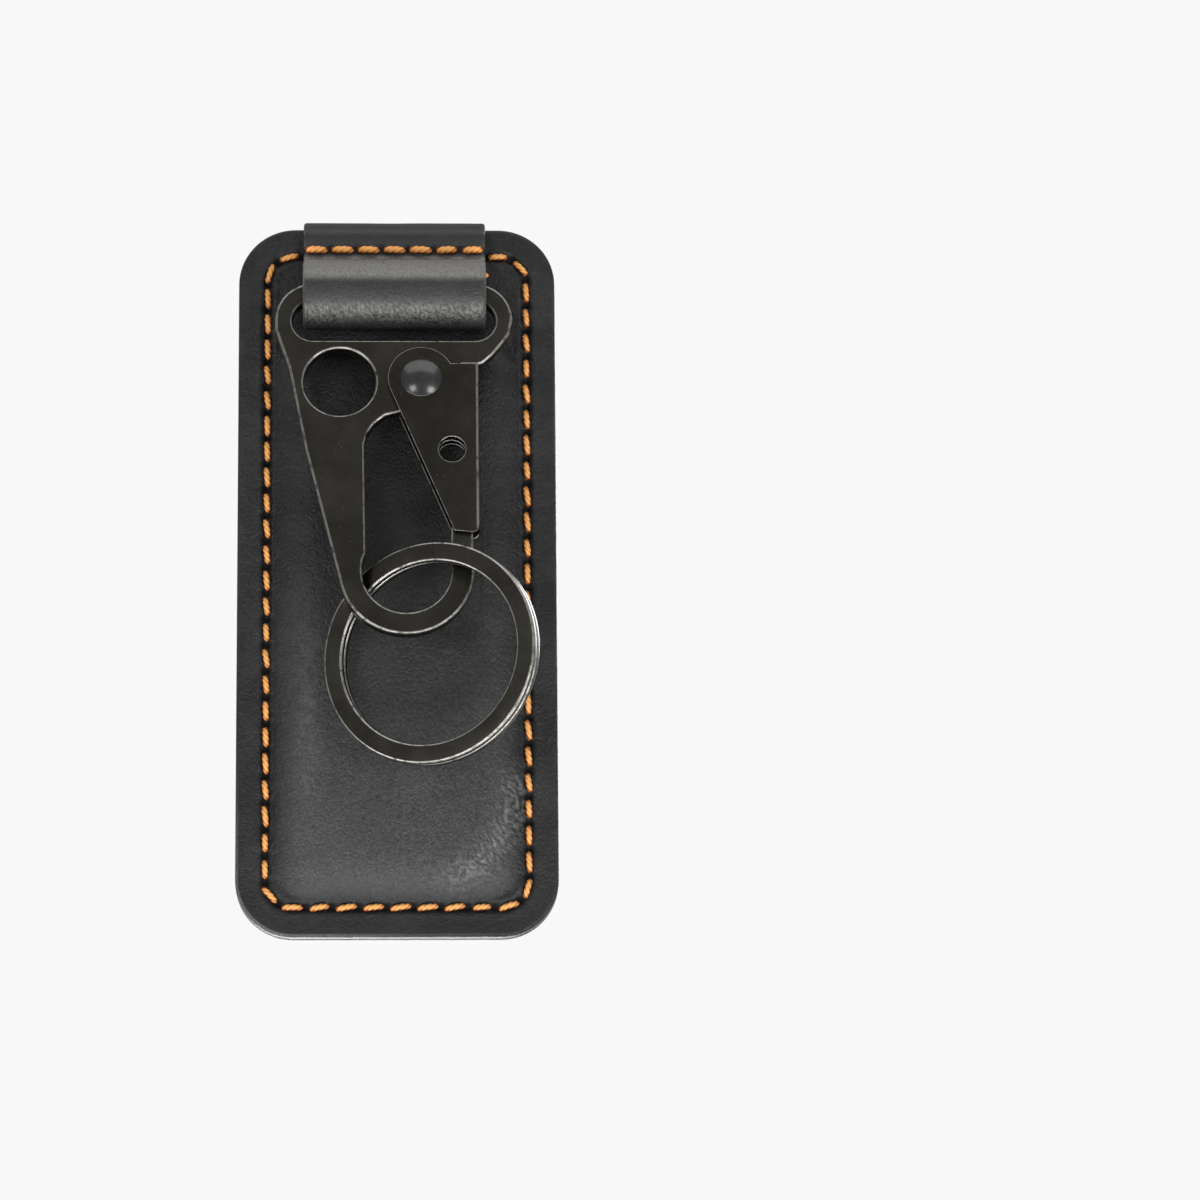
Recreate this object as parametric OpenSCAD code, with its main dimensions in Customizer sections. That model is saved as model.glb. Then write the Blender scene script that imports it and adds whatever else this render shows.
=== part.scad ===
// Belt key clip: a stitched leather panel with a folded steel belt clip behind it,
// a leather loop that carries a flat gated hook, and a split ring in the hook's eye.
// The origin is where the belt's top edge seats: y = 0 is the back leather's outer face,
// z = 0 the inside of the clip's fold. +Z runs up the panel and the front faces -Y.

/* [Leather body] */
// Width of the stitched panel
body_w = 50; // [44:1:60]
// Height of the stitched panel
body_h = 114; // [104:1:130]
// Corner radius of the panel
body_corner_r = 9; // [6:0.5:12]
// Thickness of each leather panel
leather_t = 1.8; // [1.4:0.1:2.4]
// Height of the panel's top edge above the clip's fold
top_rise = 12.3; // [11:0.1:16]
// Distance of the stitch line from the panel's edge
stitch_inset = 4.6; // [4:0.1:6]
// Depth of the groove that the stitches lie in
groove_depth = 0.25; // [0.1:0.05:0.4]
// Width of the stitch groove
groove_w = 1.9; // [1.6:0.1:2.2]

/* [Padding] */
// Thickness of the stiffener board
board_t = 0.5; // [0.4:0.1:1]
// Thickness of the foam pad at its crown
foam_t = 0.9; // [0.8:0.1:2]
// Distance from the panel's edge to the foot of the raised crown
crown_inset = 5.8; // [5.5:0.1:8]
// Distance from the panel's top edge to the crown's top foot
crown_top_inset = 19.5; // [18:0.5:30]

/* [Strap loop] */
// Width of the strap
strap_w = 28.7; // [24:0.1:30]
// Thickness of the strap
strap_t = 1.8; // [1.4:0.1:2]
// Thickness of the strap where it is skived and sewn between the panels
skive_t = 0.8; // [0.6:0.1:1]
// Mean radius of the loop that holds the hook
loop_r = 4.7; // [4.5:0.1:5]

/* [Belt clip] */
// Width of the spring steel strip
clip_w = 25.4; // [20:0.1:28]
// Thickness of the spring steel strip
clip_t = 0.8; // [0.6:0.1:1]
// Gap for the belt at the fold
belt_gap = 4.6; // [4.4:0.1:6]
// Distance from the inside of the fold to the crease, the widest belt it takes
tongue_len = 49.5; // [40:0.5:60]
// Gap between the crease and the back leather
crease_gap = 0.5; // [0.4:0.1:1.5]
// Length of the flared lip beyond the crease
lip_len = 12; // [8:0.5:16]
// Angle by which the lip flares out
lip_angle = 26; // [15:1:35]
// Corner radius of the lip
lip_corner_r = 3.5; // [2:0.1:5]
// Length of the leg between the leathers, below the fold
leg_len = 42; // [38:1:50]

/* [Clip rivets] */
// Diameter of the rivet's shank
clip_rivet_d = 3.2; // [2.4:0.1:4]
// Diameter of the rivet's head
clip_head_d = 6.4; // [5:0.1:7]
// Thickness of the rivet's head
clip_head_t = 0.6; // [0.4:0.1:0.8]
// Thickness of the washer under the rivet's upset end
washer_t = 0.3; // [0.2:0.05:0.4]
// Distance of the upper rivet below the inside of the fold
clip_rivet_drop = 20; // [14:1:24]
// Distance between the two clip rivets
clip_rivet_pitch = 18; // [12:1:20]

/* [Hook] */
// Width of the bar at each end of the strap slot
side_bar = 2.7; // [2.4:0.1:3.2]
// Distance from the eye's centre to the top of the hook
hook_reach = 48.3; // [47.5:0.1:50]
// Thickness of the hook plate
plate_t = 2.2; // [1.8:0.1:2.4]
// Inner radius of the eye
eye_r = 6.8; // [6.5:0.1:7.1]
// Width of the bar round the eye
eye_bar = 3.6; // [3.2:0.1:3.8]
// Width of the top bar that the strap goes round
top_bar = 3.2; // [2.8:0.1:3.4]
// Height of the strap slot
slot_h = 6.5; // [6:0.1:7]
// Width of the strap slot
slot_w = 31.7; // [30:0.1:33]
// Radius of the round hole in the plate
plate_hole_r = 5.6; // [4:0.1:5.8]
// Forward tilt of the hook at rest
hook_tilt = 6.7; // [6:0.1:9]
// Distance of the top bar's centre in front of the front panel's edge
bar_stand = 6.7; // [6.5:0.1:7]
// Distance of the top bar's centre below the panel's top edge
bar_drop = 12.9; // [12.5:0.1:13.5]

/* [Gate] */
// Thickness of the gate's sheet
gate_t = 0.8; // [0.6:0.1:1]
// Radius of the gate's boss round the rivet
boss_r = 5.2; // [4.6:0.1:5.6]
// Distance of the gate's outer edge from the rivet's centre
gate_back = 9; // [8.7:0.1:9.6]
// Distance of the gate's tip below the rivet's centre
gate_len = 25.8; // [25:0.1:26]
// Width of the gate's tip
gate_tip_w = 3.9; // [3.5:0.1:4.4]
// Radius of the small hole through the gate
gate_hole_r = 2.1; // [1.5:0.1:2.4]
// Height of the hook's nose inside the gate
nose_h = 8.3; // [7.5:0.1:8.8]

/* [Gate rivet] */
// Diameter of the gate rivet's shank
gate_rivet_d = 3.4; // [3:0.1:4]
// Diameter of the gate rivet's domed head
gate_head_d = 6.4; // [5.4:0.1:7]
// Height of the domed head
gate_head_t = 0.9; // [0.6:0.1:1.2]
// Height of the domed end behind the gate
gate_tail_t = 0.8; // [0.6:0.1:0.9]

/* [Gate spring] */
// Diameter of the spring's wire
wire_d = 0.5; // [0.4:0.05:0.55]
// Mean radius of the spring's coil
coil_r = 2.3; // [2:0.1:2.5]
// Rise of the coil in one turn
coil_pitch = 1.2; // [1.1:0.05:1.3]

/* [Split ring] */
// Outer diameter of the split ring
ring_d = 34.8; // [33:0.1:35.2]
// Radial width of the ring's flat wire
ring_wire_w = 3; // [2.4:0.1:3.1]
// Thickness of the ring's flat wire
ring_wire_t = 1.25; // [1:0.05:1.3]
// Gap between the ring's two turns
ring_split = 0.06; // [0.04:0.01:0.1]
// Tilt of the ring against the hook plate
ring_tilt = 23; // [22.5:0.1:24.5]

/* [Thread] */
// Thickness of the thick front thread
needle_d = 1; // [0.8:0.05:1.2]
// Thickness of the back thread
bobbin_d = 0.6; // [0.4:0.05:0.8]
// Distance from one stitch to the next
stitch_pitch = 4.2; // [3.6:0.1:5]
// Share of the pitch that one front stitch covers
needle_share = 0.69; // [0.5:0.01:0.8]
// Share of the pitch that one back stitch covers
bobbin_share = 0.6; // [0.4:0.01:0.8]

/* [Hidden] */
// Overrun of every cut past the face it leaves
over = 0.5;
// Gap between pieces that lie face to face
seat_gap = 0.04;
// Radial clearance of rivets in their holes
rivet_fit = 0.05;
// Clearance of the gate's cheeks on the plate
cheek_fit = 0.1;
// Clearance of the strip and the strap's end in their places
pocket_fit = 0.3;
// Faces round a full circle
round_faces = 64;

// Places of the fold of the belt clip
fold_r = (belt_gap + leather_t + clip_t) / 2;
fold_in_r = fold_r - clip_t / 2;
fold_outer_r = fold_r + clip_t / 2;
fold_z = -fold_in_r;

// Planes of the leather body, front to back
seam_y = -leather_t;
edge_y = -2 * leather_t;
leg_y = seam_y - clip_t / 2;
crown_rise = clip_t + board_t + foam_t;
body_top = top_rise;
body_bottom = top_rise - body_h;
board_y = seam_y - clip_t - board_t;

// The crown's rise at each step in from its foot
crown_in_shares = [0, 0.14, 0.32, 0.6, 1];
crown_rise_shares = [0, 0.46, 0.74, 0.92, 1];
crown_slope_w = 9;

// One rounded outline: half width, bottom, top and corner radius
corner_steps = 8;
function rounded(hw, lo, hi, r) = [
  for (k = [0:3])
    for (i = [0:corner_steps])
      let (
        a = 90 * k + 90 * i / corner_steps,
        cx = (k == 0 || k == 3) ? hw - r : r - hw,
        cz = k < 2 ? hi - r : lo + r
      )
      [cx + r * cos(a), cz + r * sin(a)]
];
outline_n = 4 * (corner_steps + 1);

// A closed skin through outlines of the same count: each level is [half width, bottom, top, radius, y]
module skin(levels) {
  n = outline_n;
  count = len(levels);
  points = [
    for (l = levels)
      for (p = rounded(l[0], l[1], l[2], l[3]))
        [p[0], l[4], p[1]]
  ];
  sides = [
    for (k = [0:count - 2])
      for (i = [0:n - 1])
        let (j = (i + 1) % n, a = k * n, b = (k + 1) * n)
        each [[a + i, b + j, a + j], [a + i, b + i, b + j]]
  ];
  first = [for (i = [1:n - 2]) [0, i, i + 1]];
  last = [for (i = [1:n - 2]) [(count - 1) * n, (count - 1) * n + i + 1, (count - 1) * n + i]];
  polyhedron(points, concat(first, sides, last));
}

// The level at a given inset from the edge, with its own inset at the top
function level(side_in, top_in, r, y) =
  [body_w / 2 - side_in, body_bottom + side_in, body_top - top_in, r, y];

// Levels over the raised crown, at the front of a layer whose flat part is at y
function crown_levels(y, rise, shrink) = [
  for (k = [0:len(crown_in_shares) - 1])
    let (
      step = crown_in_shares[k] * crown_slope_w + shrink,
      r = body_corner_r - crown_inset + step
    )
    level(crown_inset + step, crown_top_inset + step, max(r, body_corner_r / 4), y - rise * crown_rise_shares[k])
];

module front_panel() {
  bevel = leather_t / 5;
  groove_in = stitch_inset - groove_w / 2;
  groove_out = stitch_inset + groove_w / 2;
  slope = groove_w / 10;
  color("#2c2c2f") difference() {
    skin(concat(
      [
        level(0, 0, body_corner_r, seam_y),
        level(0, 0, body_corner_r, edge_y + bevel),
        level(bevel, bevel, body_corner_r - bevel, edge_y),
        level(groove_in, groove_in, body_corner_r - groove_in, edge_y),
        level(groove_in + slope, groove_in + slope, body_corner_r - groove_in - slope, edge_y + groove_depth),
        level(groove_out - slope, groove_out - slope, body_corner_r - groove_out + slope, edge_y + groove_depth),
        level(groove_out, groove_out, body_corner_r - groove_out, edge_y)
      ],
      crown_levels(edge_y, crown_rise, 0)
    ));
    crown_hollow(0);
    leg_pocket();
    tail_pocket();
  }
}

// The room behind the crown; shrink draws it in on all sides for what fills it
module crown_hollow(shrink) {
  skin(concat(
    [level(crown_inset + shrink, crown_top_inset + shrink, body_corner_r - crown_inset, seam_y + over)],
    crown_levels(seam_y - over / 10, crown_rise - shrink, shrink)
  ));
}

// The room for the clip's leg above the crown
module leg_pocket() {
  pocket_w = clip_w + 2 * pocket_fit;
  pocket_h = crown_top_inset + crown_slope_w;
  translate([-pocket_w / 2, seam_y - clip_t - seat_gap, body_top - pocket_h])
    cube([pocket_w, clip_t + seat_gap + over, pocket_h - body_top]);
}

// The room for the strap's skived end, shared by both panels
tail_len = 1.7 * stitch_inset;
module tail_pocket() {
  pocket_w = strap_w + 2 * pocket_fit;
  depth = skive_t + 2 * seat_gap;
  translate([strap_x - pocket_w / 2, seam_y - depth / 2, body_top - tail_len - pocket_fit])
    cube([pocket_w, depth, tail_len + pocket_fit + over]);
}

module panel_outline(inset) {
  r = max(body_corner_r - inset, body_corner_r / 4);
  hw = body_w / 2 - inset;
  lo = body_bottom + inset;
  hi = body_top - inset;
  difference() {
    translate([-hw, lo]) square([2 * hw, hi - lo]);
    for (side = [-1, 1]) {
      translate([side > 0 ? hw - r : -hw, lo]) corner_cut(r, side, -1);
      translate([side > 0 ? hw - r : -hw, hi - r]) corner_cut(r, side, 1);
    }
  }
}

// What a round corner takes off a square one
module corner_cut(r, side, end) {
  difference() {
    translate([side > 0 ? 0 : -over, end > 0 ? 0 : -over]) square(r + over);
    translate([side > 0 ? 0 : r, end > 0 ? 0 : r]) circle(r, $fn = round_faces);
  }
}

// Turns a drawing in x and z into a plate from y0 back to y1
module upright(y0, y1) {
  translate([0, y1, 0]) rotate([90, 0, 0]) linear_extrude(y1 - y0) children();
}

module back_panel() {
  slit_w = clip_w + 4 * pocket_fit;
  slit_h = fold_outer_r + 2 * pocket_fit + pocket_fit;
  groove_in = stitch_inset - groove_w / 2;
  color("#29292c") difference() {
    upright(seam_y, 0) panel_outline(0);
    tail_pocket();
    translate([-slit_w / 2, seam_y - over, fold_z - pocket_fit])
      cube([slit_w, leather_t + 2 * over, slit_h]);
    upright(-2 * groove_depth, over) difference() {
      panel_outline(groove_in);
      panel_outline(groove_in + groove_w);
    }
    clip_rivet_places() cylinder(3 * leather_t, r = clip_rivet_d / 2 + rivet_fit, center = true, $fn = round_faces);
  }
}

// The board's rim stands where the crown is high enough to hold it
board_inset = crown_inset + crown_slope_w * 0.34;
board_top_inset = crown_top_inset + crown_slope_w * 0.34;

module board_outline(grow) {
  r = body_corner_r / 3;
  hw = body_w / 2 - board_inset + grow;
  lo = body_bottom + board_inset - grow;
  hi = body_top - board_top_inset + grow;
  translate([-hw + r, lo]) square([2 * (hw - r), hi - lo]);
  translate([-hw, lo + r]) square([2 * hw, hi - lo - 2 * r]);
  for (x = [-hw + r, hw - r], z = [lo + r, hi - r]) translate([x, z]) circle(r, $fn = round_faces);
}

module stiffener_board() {
  color("#6b5a45") difference() {
    upright(board_y, board_y + board_t - seat_gap) board_outline(0);
    clip_rivet_places() cylinder(4 * leather_t, r = clip_rivet_d / 2 + rivet_fit, center = true, $fn = round_faces);
  }
}

// The foam fills the crown in front of the board
module foam_pad() {
  front = body_h;
  color("#3d3d40") difference() {
    intersection() {
      crown_hollow(2 * seat_gap);
      translate([-body_w, board_y - seat_gap - front, body_bottom]) cube([2 * body_w, front, body_h]);
    }
    clip_rivet_places() cylinder(2 * tail_stack, r = clip_head_d / 2 + pocket_fit, center = true, $fn = round_faces);
  }
}

// A flat strip seen from its edge: path points are [y, z, thickness]
function unit(v) = v / norm(v);
function run(path, i) =
  let (a = path[max(i - 1, 0)], b = path[min(i + 1, len(path) - 1)])
  unit([b[0] - a[0], b[1] - a[1]]);
function side_points(path, side) = [
  for (i = [0:len(path) - 1])
    let (t = run(path, i), half = side * path[i][2] / 2)
    [path[i][0] - half * t[1], path[i][1] + half * t[0]]
];
function reversed(list) = [for (i = [len(list) - 1:-1:0]) list[i]];
module strip(path, width) {
  rotate([90, 0, 90]) linear_extrude(width, center = true)
    polygon(concat(side_points(path, 1), reversed(side_points(path, -1))));
}

// The strap runs from between the panels over the top edge, down, round the hook's bar and back up
strap_x = -0.008 * body_w;
strap_front_y = edge_y - 1.5 * strap_t - 2 * seat_gap;
strap_rear_y = edge_y - strap_t / 2 - seat_gap;
strap_row_z = body_top - stitch_inset;
tack_row_z = body_top - 1.8 * stitch_inset;
bar_z = body_top - bar_drop;
bar_y = edge_y - bar_stand;
loop_y = strap_rear_y - loop_r;
loop_z = bar_z + top_bar / 10;
loop_bend_r = 0.9 * strap_t;
loop_bend_z = strap_row_z - 0.6 * strap_t;
loop_run = [loop_y - strap_front_y + loop_bend_r, loop_z - loop_bend_z];
loop_lean = asin((loop_r + loop_bend_r) / norm(loop_run)) + atan2(-loop_run[0], -loop_run[1]);
roll_in = skive_t / 2 + seat_gap;
roll_steps = 6;
roll_y = seam_y - roll_in;
roll_z = body_top + seat_gap;
roll_front_y = roll_y - leather_t / 2;
roll_end_z = strap_row_z + strap_t;
strap_path = concat(
  [[seam_y, body_top - tail_len, skive_t]],
  [
    for (i = [0:roll_steps])
      let (a = 90 * i / roll_steps)
      [roll_y + roll_in * cos(a), roll_z + roll_in * sin(a), skive_t]
  ],
  [
    for (i = [0:2 * roll_steps])
      let (a = 45 * i / roll_steps, grown = i / (2 * roll_steps))
      [
        roll_front_y - (roll_front_y - strap_front_y) * sin(a),
        roll_end_z + (roll_z + roll_in - roll_end_z) * cos(a),
        skive_t + (strap_t - skive_t) * grown
      ]
  ],
  [
    for (i = [0:roll_steps])
      let (a = loop_lean * i / roll_steps)
      [strap_front_y - loop_bend_r + loop_bend_r * cos(a), loop_bend_z - loop_bend_r * sin(a), strap_t]
  ],
  [
    for (i = [0:5 * roll_steps])
      let (a = loop_lean - (loop_lean + 180) * i / (5 * roll_steps))
      [loop_y - loop_r * cos(a), loop_z + loop_r * sin(a), strap_t]
  ],
  [[strap_rear_y, body_top - stitch_inset / 2, strap_t]]
);

module strap_loop() {
  color("#333336") translate([strap_x, 0, 0]) strip(strap_path, strap_w);
}

// The belt clip: leg between the leathers, fold, tongue, crease and flared lip
fold_y = leg_y + fold_r;
crease_r = 4 * clip_t;
crease_y = crease_gap + clip_t / 2;
tongue_top_y = belt_gap + clip_t / 2;
tongue_lean = atan((tongue_top_y - crease_y) / (tongue_len - fold_in_r));
fold_steps = 16;
clip_bend = tongue_lean + lip_angle;
crease_steps = 8;
crease_c = [crease_y + crease_r, -tongue_len];
lip_start = [crease_c[0] - crease_r * cos(lip_angle), crease_c[1] - crease_r * sin(lip_angle)];
clip_path = concat(
  [[leg_y, fold_z - leg_len, clip_t]],
  [
    for (i = [0:fold_steps])
      let (a = 180 - (180 - tongue_lean) * i / fold_steps)
      [fold_y + fold_r * cos(a), fold_z + fold_r * sin(a), clip_t]
  ],
  [
    for (i = [0:crease_steps])
      let (a = clip_bend * i / crease_steps - tongue_lean)
      [crease_c[0] - crease_r * cos(a), crease_c[1] - crease_r * sin(a), clip_t]
  ],
  [[
    lip_start[0] + lip_len * sin(lip_angle),
    lip_start[1] - lip_len * cos(lip_angle),
    clip_t
  ]]
);

module belt_clip() {
  lo = lip_start[1] - lip_len * cos(lip_angle) + clip_t / 3;
  r = lip_corner_r;
  hw = clip_w / 2;
  color("#24262b") difference() {
    intersection() {
      strip(clip_path, clip_w);
      upright(-body_h, body_h) {
        translate([-hw, lo + r]) square([clip_w, -lo]);
        translate([r - hw, lo]) square([clip_w - 2 * r, -lo]);
        for (x = [r - hw, hw - r]) translate([x, lo + r]) circle(r, $fn = round_faces);
      }
    }
    clip_rivet_places() translate([0, 0, -2.5 * leather_t])
      cylinder(2 * leather_t, r = clip_rivet_d / 2 + rivet_fit, $fn = round_faces);
  }
}

// The two rivets through back leather, leg and board; local +Z points out of the back
module clip_rivet_places() {
  for (i = [0, 1])
    translate([0, 0, -clip_rivet_drop - i * clip_rivet_pitch]) rotate([-90, 0, 0]) children();
}
washer_top = -board_y + seat_gap;
tail_stack = washer_top + 2 * washer_t;

// A shallow dome standing on z = 0
dome_steps = 6;
module dome(d, h) {
  r = d / 2;
  big = (r * r + h * h) / (2 * h);
  spread = asin(r / big);
  rotate_extrude($fn = round_faces) polygon(concat(
    [[0, 0]],
    [
      for (i = [dome_steps:-1:0])
        let (a = spread * i / dome_steps)
        [i == 0 ? 0 : big * sin(a), big * cos(a) - big + h]
    ]
  ));
}

module clip_rivets() {
  color("#3a3a3c") clip_rivet_places() {
    translate([0, 0, seat_gap]) dome(clip_head_d, clip_head_t);
    translate([0, 0, -tail_stack]) cylinder(tail_stack + seat_gap + clip_head_t / 4, d = clip_rivet_d, $fn = round_faces);
    translate([0, 0, -tail_stack]) cylinder(washer_t - seat_gap, d = 1.4 * clip_rivet_d, $fn = round_faces);
  }
}

module clip_rivet_washers() {
  color("#77777a") clip_rivet_places() difference() {
    translate([0, 0, -washer_top - washer_t]) cylinder(washer_t - seat_gap, d = clip_head_d, $fn = round_faces);
    translate([0, 0, -tail_stack - over])
      cylinder(tail_stack + over, d = clip_rivet_d + 2 * rivet_fit, $fn = round_faces);
  }
}

// The hook's own frame: x across, z up its plate, y = 0 its middle plane, origin at the eye's centre
eye_x = 0.029 * body_w;
bar_v = hook_reach - top_bar / 2;
module in_hook() {
  translate([eye_x, bar_y, bar_z]) rotate([-hook_tilt, 0, 0]) translate([0, 0, -bar_v]) children();
}
hook_w = slot_w + 2 * side_bar;
hook_mid = -0.0526 * hook_w;
eye_outer_r = eye_r + eye_bar;
pivot = [0.062 * hook_w, 0.65835 * hook_reach];
shoulder_v = pivot[1] + boss_r / 2;
head_r = 0.162 * hook_w;
// Left edge of the limb, from low to high, and right edge of the head, from high to low
limb_shares = [[-0.423, 0.4186], [-0.493, 0.6977], [-0.5525, 0.8362]];
head_shares = [[0.434, 0.8198], [0.412, 0.7946], [0.364, 0.7471], [0.323, 0.718]];
// Edge of the plate under the gate and over the opening, in boss radii from the pivot
lobe_shares = [
  [1.25, 0.5], [1.13, -0.35], [0.33, -1.02], [-0.65, -1.04], [-1.08, -1.16], [-1.42, -1.44], [-1.61, -1.75], [-1.69, -2.1]
];
limb_in_shares = [[-0.92, 0.42], [-0.98, 0.26], [-1, 0.1], [-1, 0]];
function arc(c, r, a0, a1, n) = [for (i = [0:n]) let (a = a0 + (a1 - a0) * i / n) [c[0] + r * cos(a), c[1] + r * sin(a)]];
function shares_of(list, w, h, c) = [for (p = list) [c[0] + p[0] * w, c[1] + p[1] * h]];
// Angle at which a line from point p touches a circle of radius r round the origin
function touch(p, r, side) = atan2(p[1], p[0]) + side * acos(r / norm(p));

module hook_outline() {
  limb = shares_of(limb_shares, hook_w, hook_reach, [0, 0]);
  a = touch(limb[0], eye_outer_r, 1);
  head_c = hook_reach - head_r;
  nose = [
    [eye_outer_r - eye_bar / 30, 0.8 * nose_h], [eye_outer_r - eye_bar / 5, nose_h],
    [eye_r + eye_bar / 4, nose_h], [eye_r, 0.85 * nose_h]
  ];
  polygon(concat(
    arc([0, 0], eye_outer_r, 360, a, 40),
    limb,
    arc([hook_mid - hook_w / 2 + head_r, head_c], head_r, 180, 90, 8),
    arc([hook_mid + hook_w / 2 - head_r, head_c], head_r, 90, 0, 8),
    shares_of(head_shares, hook_w, hook_reach, [0, 0]),
    [[pivot[0] + 1.7 * boss_r, shoulder_v]],
    shares_of(lobe_shares, boss_r, boss_r, pivot),
    shares_of(limb_in_shares, eye_r, eye_r, [0, 0]),
    arc([0, 0], eye_r, 180, 360, 32),
    reversed(nose)
  ));
}

module hook_plate() {
  slot_end = slot_h / 2;
  slot_v = hook_reach - top_bar - slot_end;
  color("#3b3833") in_hook() difference() {
    upright(-plate_t / 2, plate_t / 2) difference() {
      hook_outline();
      for (side = [-1, 1])
        translate([hook_mid + side * (slot_w / 2 - slot_end), slot_v]) circle(slot_end, $fn = round_faces);
      translate([hook_mid - slot_w / 2 + slot_end, slot_v - slot_end]) square([slot_w - slot_h, slot_h]);
      translate([hole_u, hole_v]) circle(plate_hole_r, $fn = 2 * round_faces);
    }
    at_pivot() cylinder(2 * plate_t, r = gate_rivet_d / 2 + rivet_fit, center = true, $fn = round_faces);
  }
}
hole_u = -0.28 * hook_w;
hole_v = 0.65215 * hook_reach;

// The pivot of the gate in the hook's frame; local +Z points out of the front
module at_pivot() {
  translate([pivot[0], 0, pivot[1]]) rotate([90, 0, 0]) children();
}

// The gate is one folded sheet: two cheeks over the plate, joined by a back along the outer edge
cheek_in = plate_t / 2 + cheek_fit;
gate_half = cheek_in + gate_t;
gate_top = boss_r / 2 - 1.5 * cheek_fit;
gate_hole = [0.533 * gate_back, -0.465 * gate_len];

module cheek_outline() {
  tip = [gate_back - gate_tip_w, -0.99 * gate_len];
  a = touch(tip, boss_r, -1);
  r = 1.5 * gate_t;
  circle(boss_r, $fn = 2 * round_faces);
  polygon(concat(
    [[boss_r * cos(a), boss_r * sin(a)], tip],
    arc([gate_back - r, r - gate_len], r, -90, -90 / 6, 5),
    [[gate_back + over, r - gate_len], [gate_back + over, gate_top], [0.88 * boss_r, gate_top], [0, 0]]
  ));
}

// The block that the sheet is folded round, with the fold's two long round edges
module fold_block() {
  r = 0.9 * gate_t;
  deep = 2 * gate_back;
  edge = [gate_back - r, gate_half - r];
  translate([0, boss_r + over, 0]) rotate([90, 0, 0]) linear_extrude(gate_len + boss_r + 2 * over)
    polygon(concat(
      [[-deep, -gate_half]], arc([edge[0], -edge[1]], r, -90, 0, 6), arc(edge, r, 0, 90, 6), [[-deep, gate_half]]
    ));
}

// The room between the cheeks, open at the outer edge below the back's end
module gate_room() {
  deep = 2 * gate_back;
  back_low = nose_h + 2 * eye_bar / 5 - pivot[1];
  linear_extrude(2 * cheek_in, center = true)
    polygon([
      [-deep, -gate_len - over], [gate_back + over, -gate_len - over], [gate_back + over, back_low],
      [gate_back - gate_t, back_low], [gate_back - gate_t, boss_r + over], [-deep, boss_r + over]
    ]);
}

module gate() {
  color("#38352f") in_hook() at_pivot() difference() {
    intersection() {
      linear_extrude(3 * gate_half, center = true) cheek_outline();
      fold_block();
    }
    gate_room();
    cylinder(3 * gate_half, r = gate_rivet_d / 2 + rivet_fit, center = true, $fn = round_faces);
    translate([gate_hole[0], gate_hole[1], 0]) cylinder(3 * gate_half, r = gate_hole_r, center = true, $fn = round_faces);
  }
}

// Both ends of the gate's rivet are domed heads
module gate_rivet() {
  color("#8d8c88") in_hook() at_pivot() {
    translate([0, 0, gate_half + seat_gap]) dome(gate_head_d, gate_head_t);
    mirror([0, 0, 1]) translate([0, 0, gate_half + seat_gap]) dome(0.95 * gate_head_d, gate_tail_t);
    cylinder(2 * gate_half + gate_tail_t, d = gate_rivet_d, center = true, $fn = round_faces);
  }
}

// A tube of 6 sides along points that stay near one plane
tube_sides = 6;
module tube(path, d) {
  n = len(path);
  s = tube_sides;
  rings = [
    for (i = [0:n - 1])
      let (t = unit(path[min(i + 1, n - 1)] - path[max(i - 1, 0)]), side = unit(cross([0, 0, 1], t)), top = cross(t, side))
      for (k = [0:s - 1])
        path[i] + d / 2 * (cos(360 * k / s) * side + sin(360 * k / s) * top)
  ];
  walls = [
    for (i = [0:n - 2])
      for (k = [0:s - 1])
        let (a = i * s + k, b = i * s + (k + 1) % s)
        each [[a, b + s, b], [a, a + s, b + s]]
  ];
  first = [for (k = [1:s - 2]) [0, k, k + 1]];
  last = [for (k = [1:s - 2]) [(n - 1) * s, (n - 1) * s + k + 1, (n - 1) * s + k]];
  polyhedron(rings, concat(first, walls, last));
}

// The spring's coil lies behind the gate's small hole: one leg bears under the plate, one on the gate's back
coil_steps = 12;
coil_sweep = 405;
spring_rise = coil_pitch * coil_sweep / 360;
spring_top = [0.29 * boss_r, -1.02 * boss_r - wire_d];
leg_run = gate_back - gate_t - wire_d - gate_hole[0] + coil_r * cos(45);
spring_path = concat(
  [[spring_top[0], spring_top[1], -spring_rise / 2]],
  [
    for (i = [0:coil_steps * coil_sweep / 360])
      let (a = 180 + 360 * i / coil_steps)
      [gate_hole[0] + coil_r * cos(a), gate_hole[1] + coil_r * sin(a), coil_pitch * i / coil_steps - spring_rise / 2]
  ],
  [[
    gate_hole[0] - coil_r * cos(45) + leg_run,
    gate_hole[1] - coil_r * sin(45) - leg_run,
    spring_rise / 2
  ]]
);
echo(spring_gap = coil_pitch - wire_d, spring_room = 2 * cheek_in - spring_rise - wire_d);

module gate_spring() {
  color("#9a9a98") in_hook() at_pivot() tube(spring_path, wire_d);
}

// The split ring: two turns of flat wire side by side, joined by one step
ring_centre = [0.109, 0.002, -0.3822];
ring_rise_dir = 15.3;
step_angle = 18;
step_turn = 129;
ring_layer = (ring_wire_t + ring_split) / 2;
module ring_section(shrink) {
  r = ring_wire_t / 4;
  h = ring_wire_t / 2 - shrink - r;
  in_r = ring_d / 2 - ring_wire_w + shrink + r;
  out_r = ring_d / 2 - shrink - r;
  polygon(concat(
    arc([out_r, h], r, 0, 90, 3),
    arc([in_r, h], r, 90, 180, 3),
    arc([in_r, -h], r, 180, 270, 3),
    arc([out_r, -h], r, 270, 360, 3)
  ));
}

// A thin slice of the step, a little smaller than the turns that it runs into
step_shrink = 0.03;
step_shares = [[-0.56, -1], [-0.5, -1], [-0.25, -0.5], [0.25, 0.5], [0.5, 1], [0.56, 1]];
module ring_slice(share) {
  rotate([0, 0, share[0] * step_angle]) translate([0, 0, share[1] * ring_layer])
    rotate_extrude(angle = step_angle / 60, $fn = 2 * round_faces) ring_section(step_shrink);
}

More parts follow.
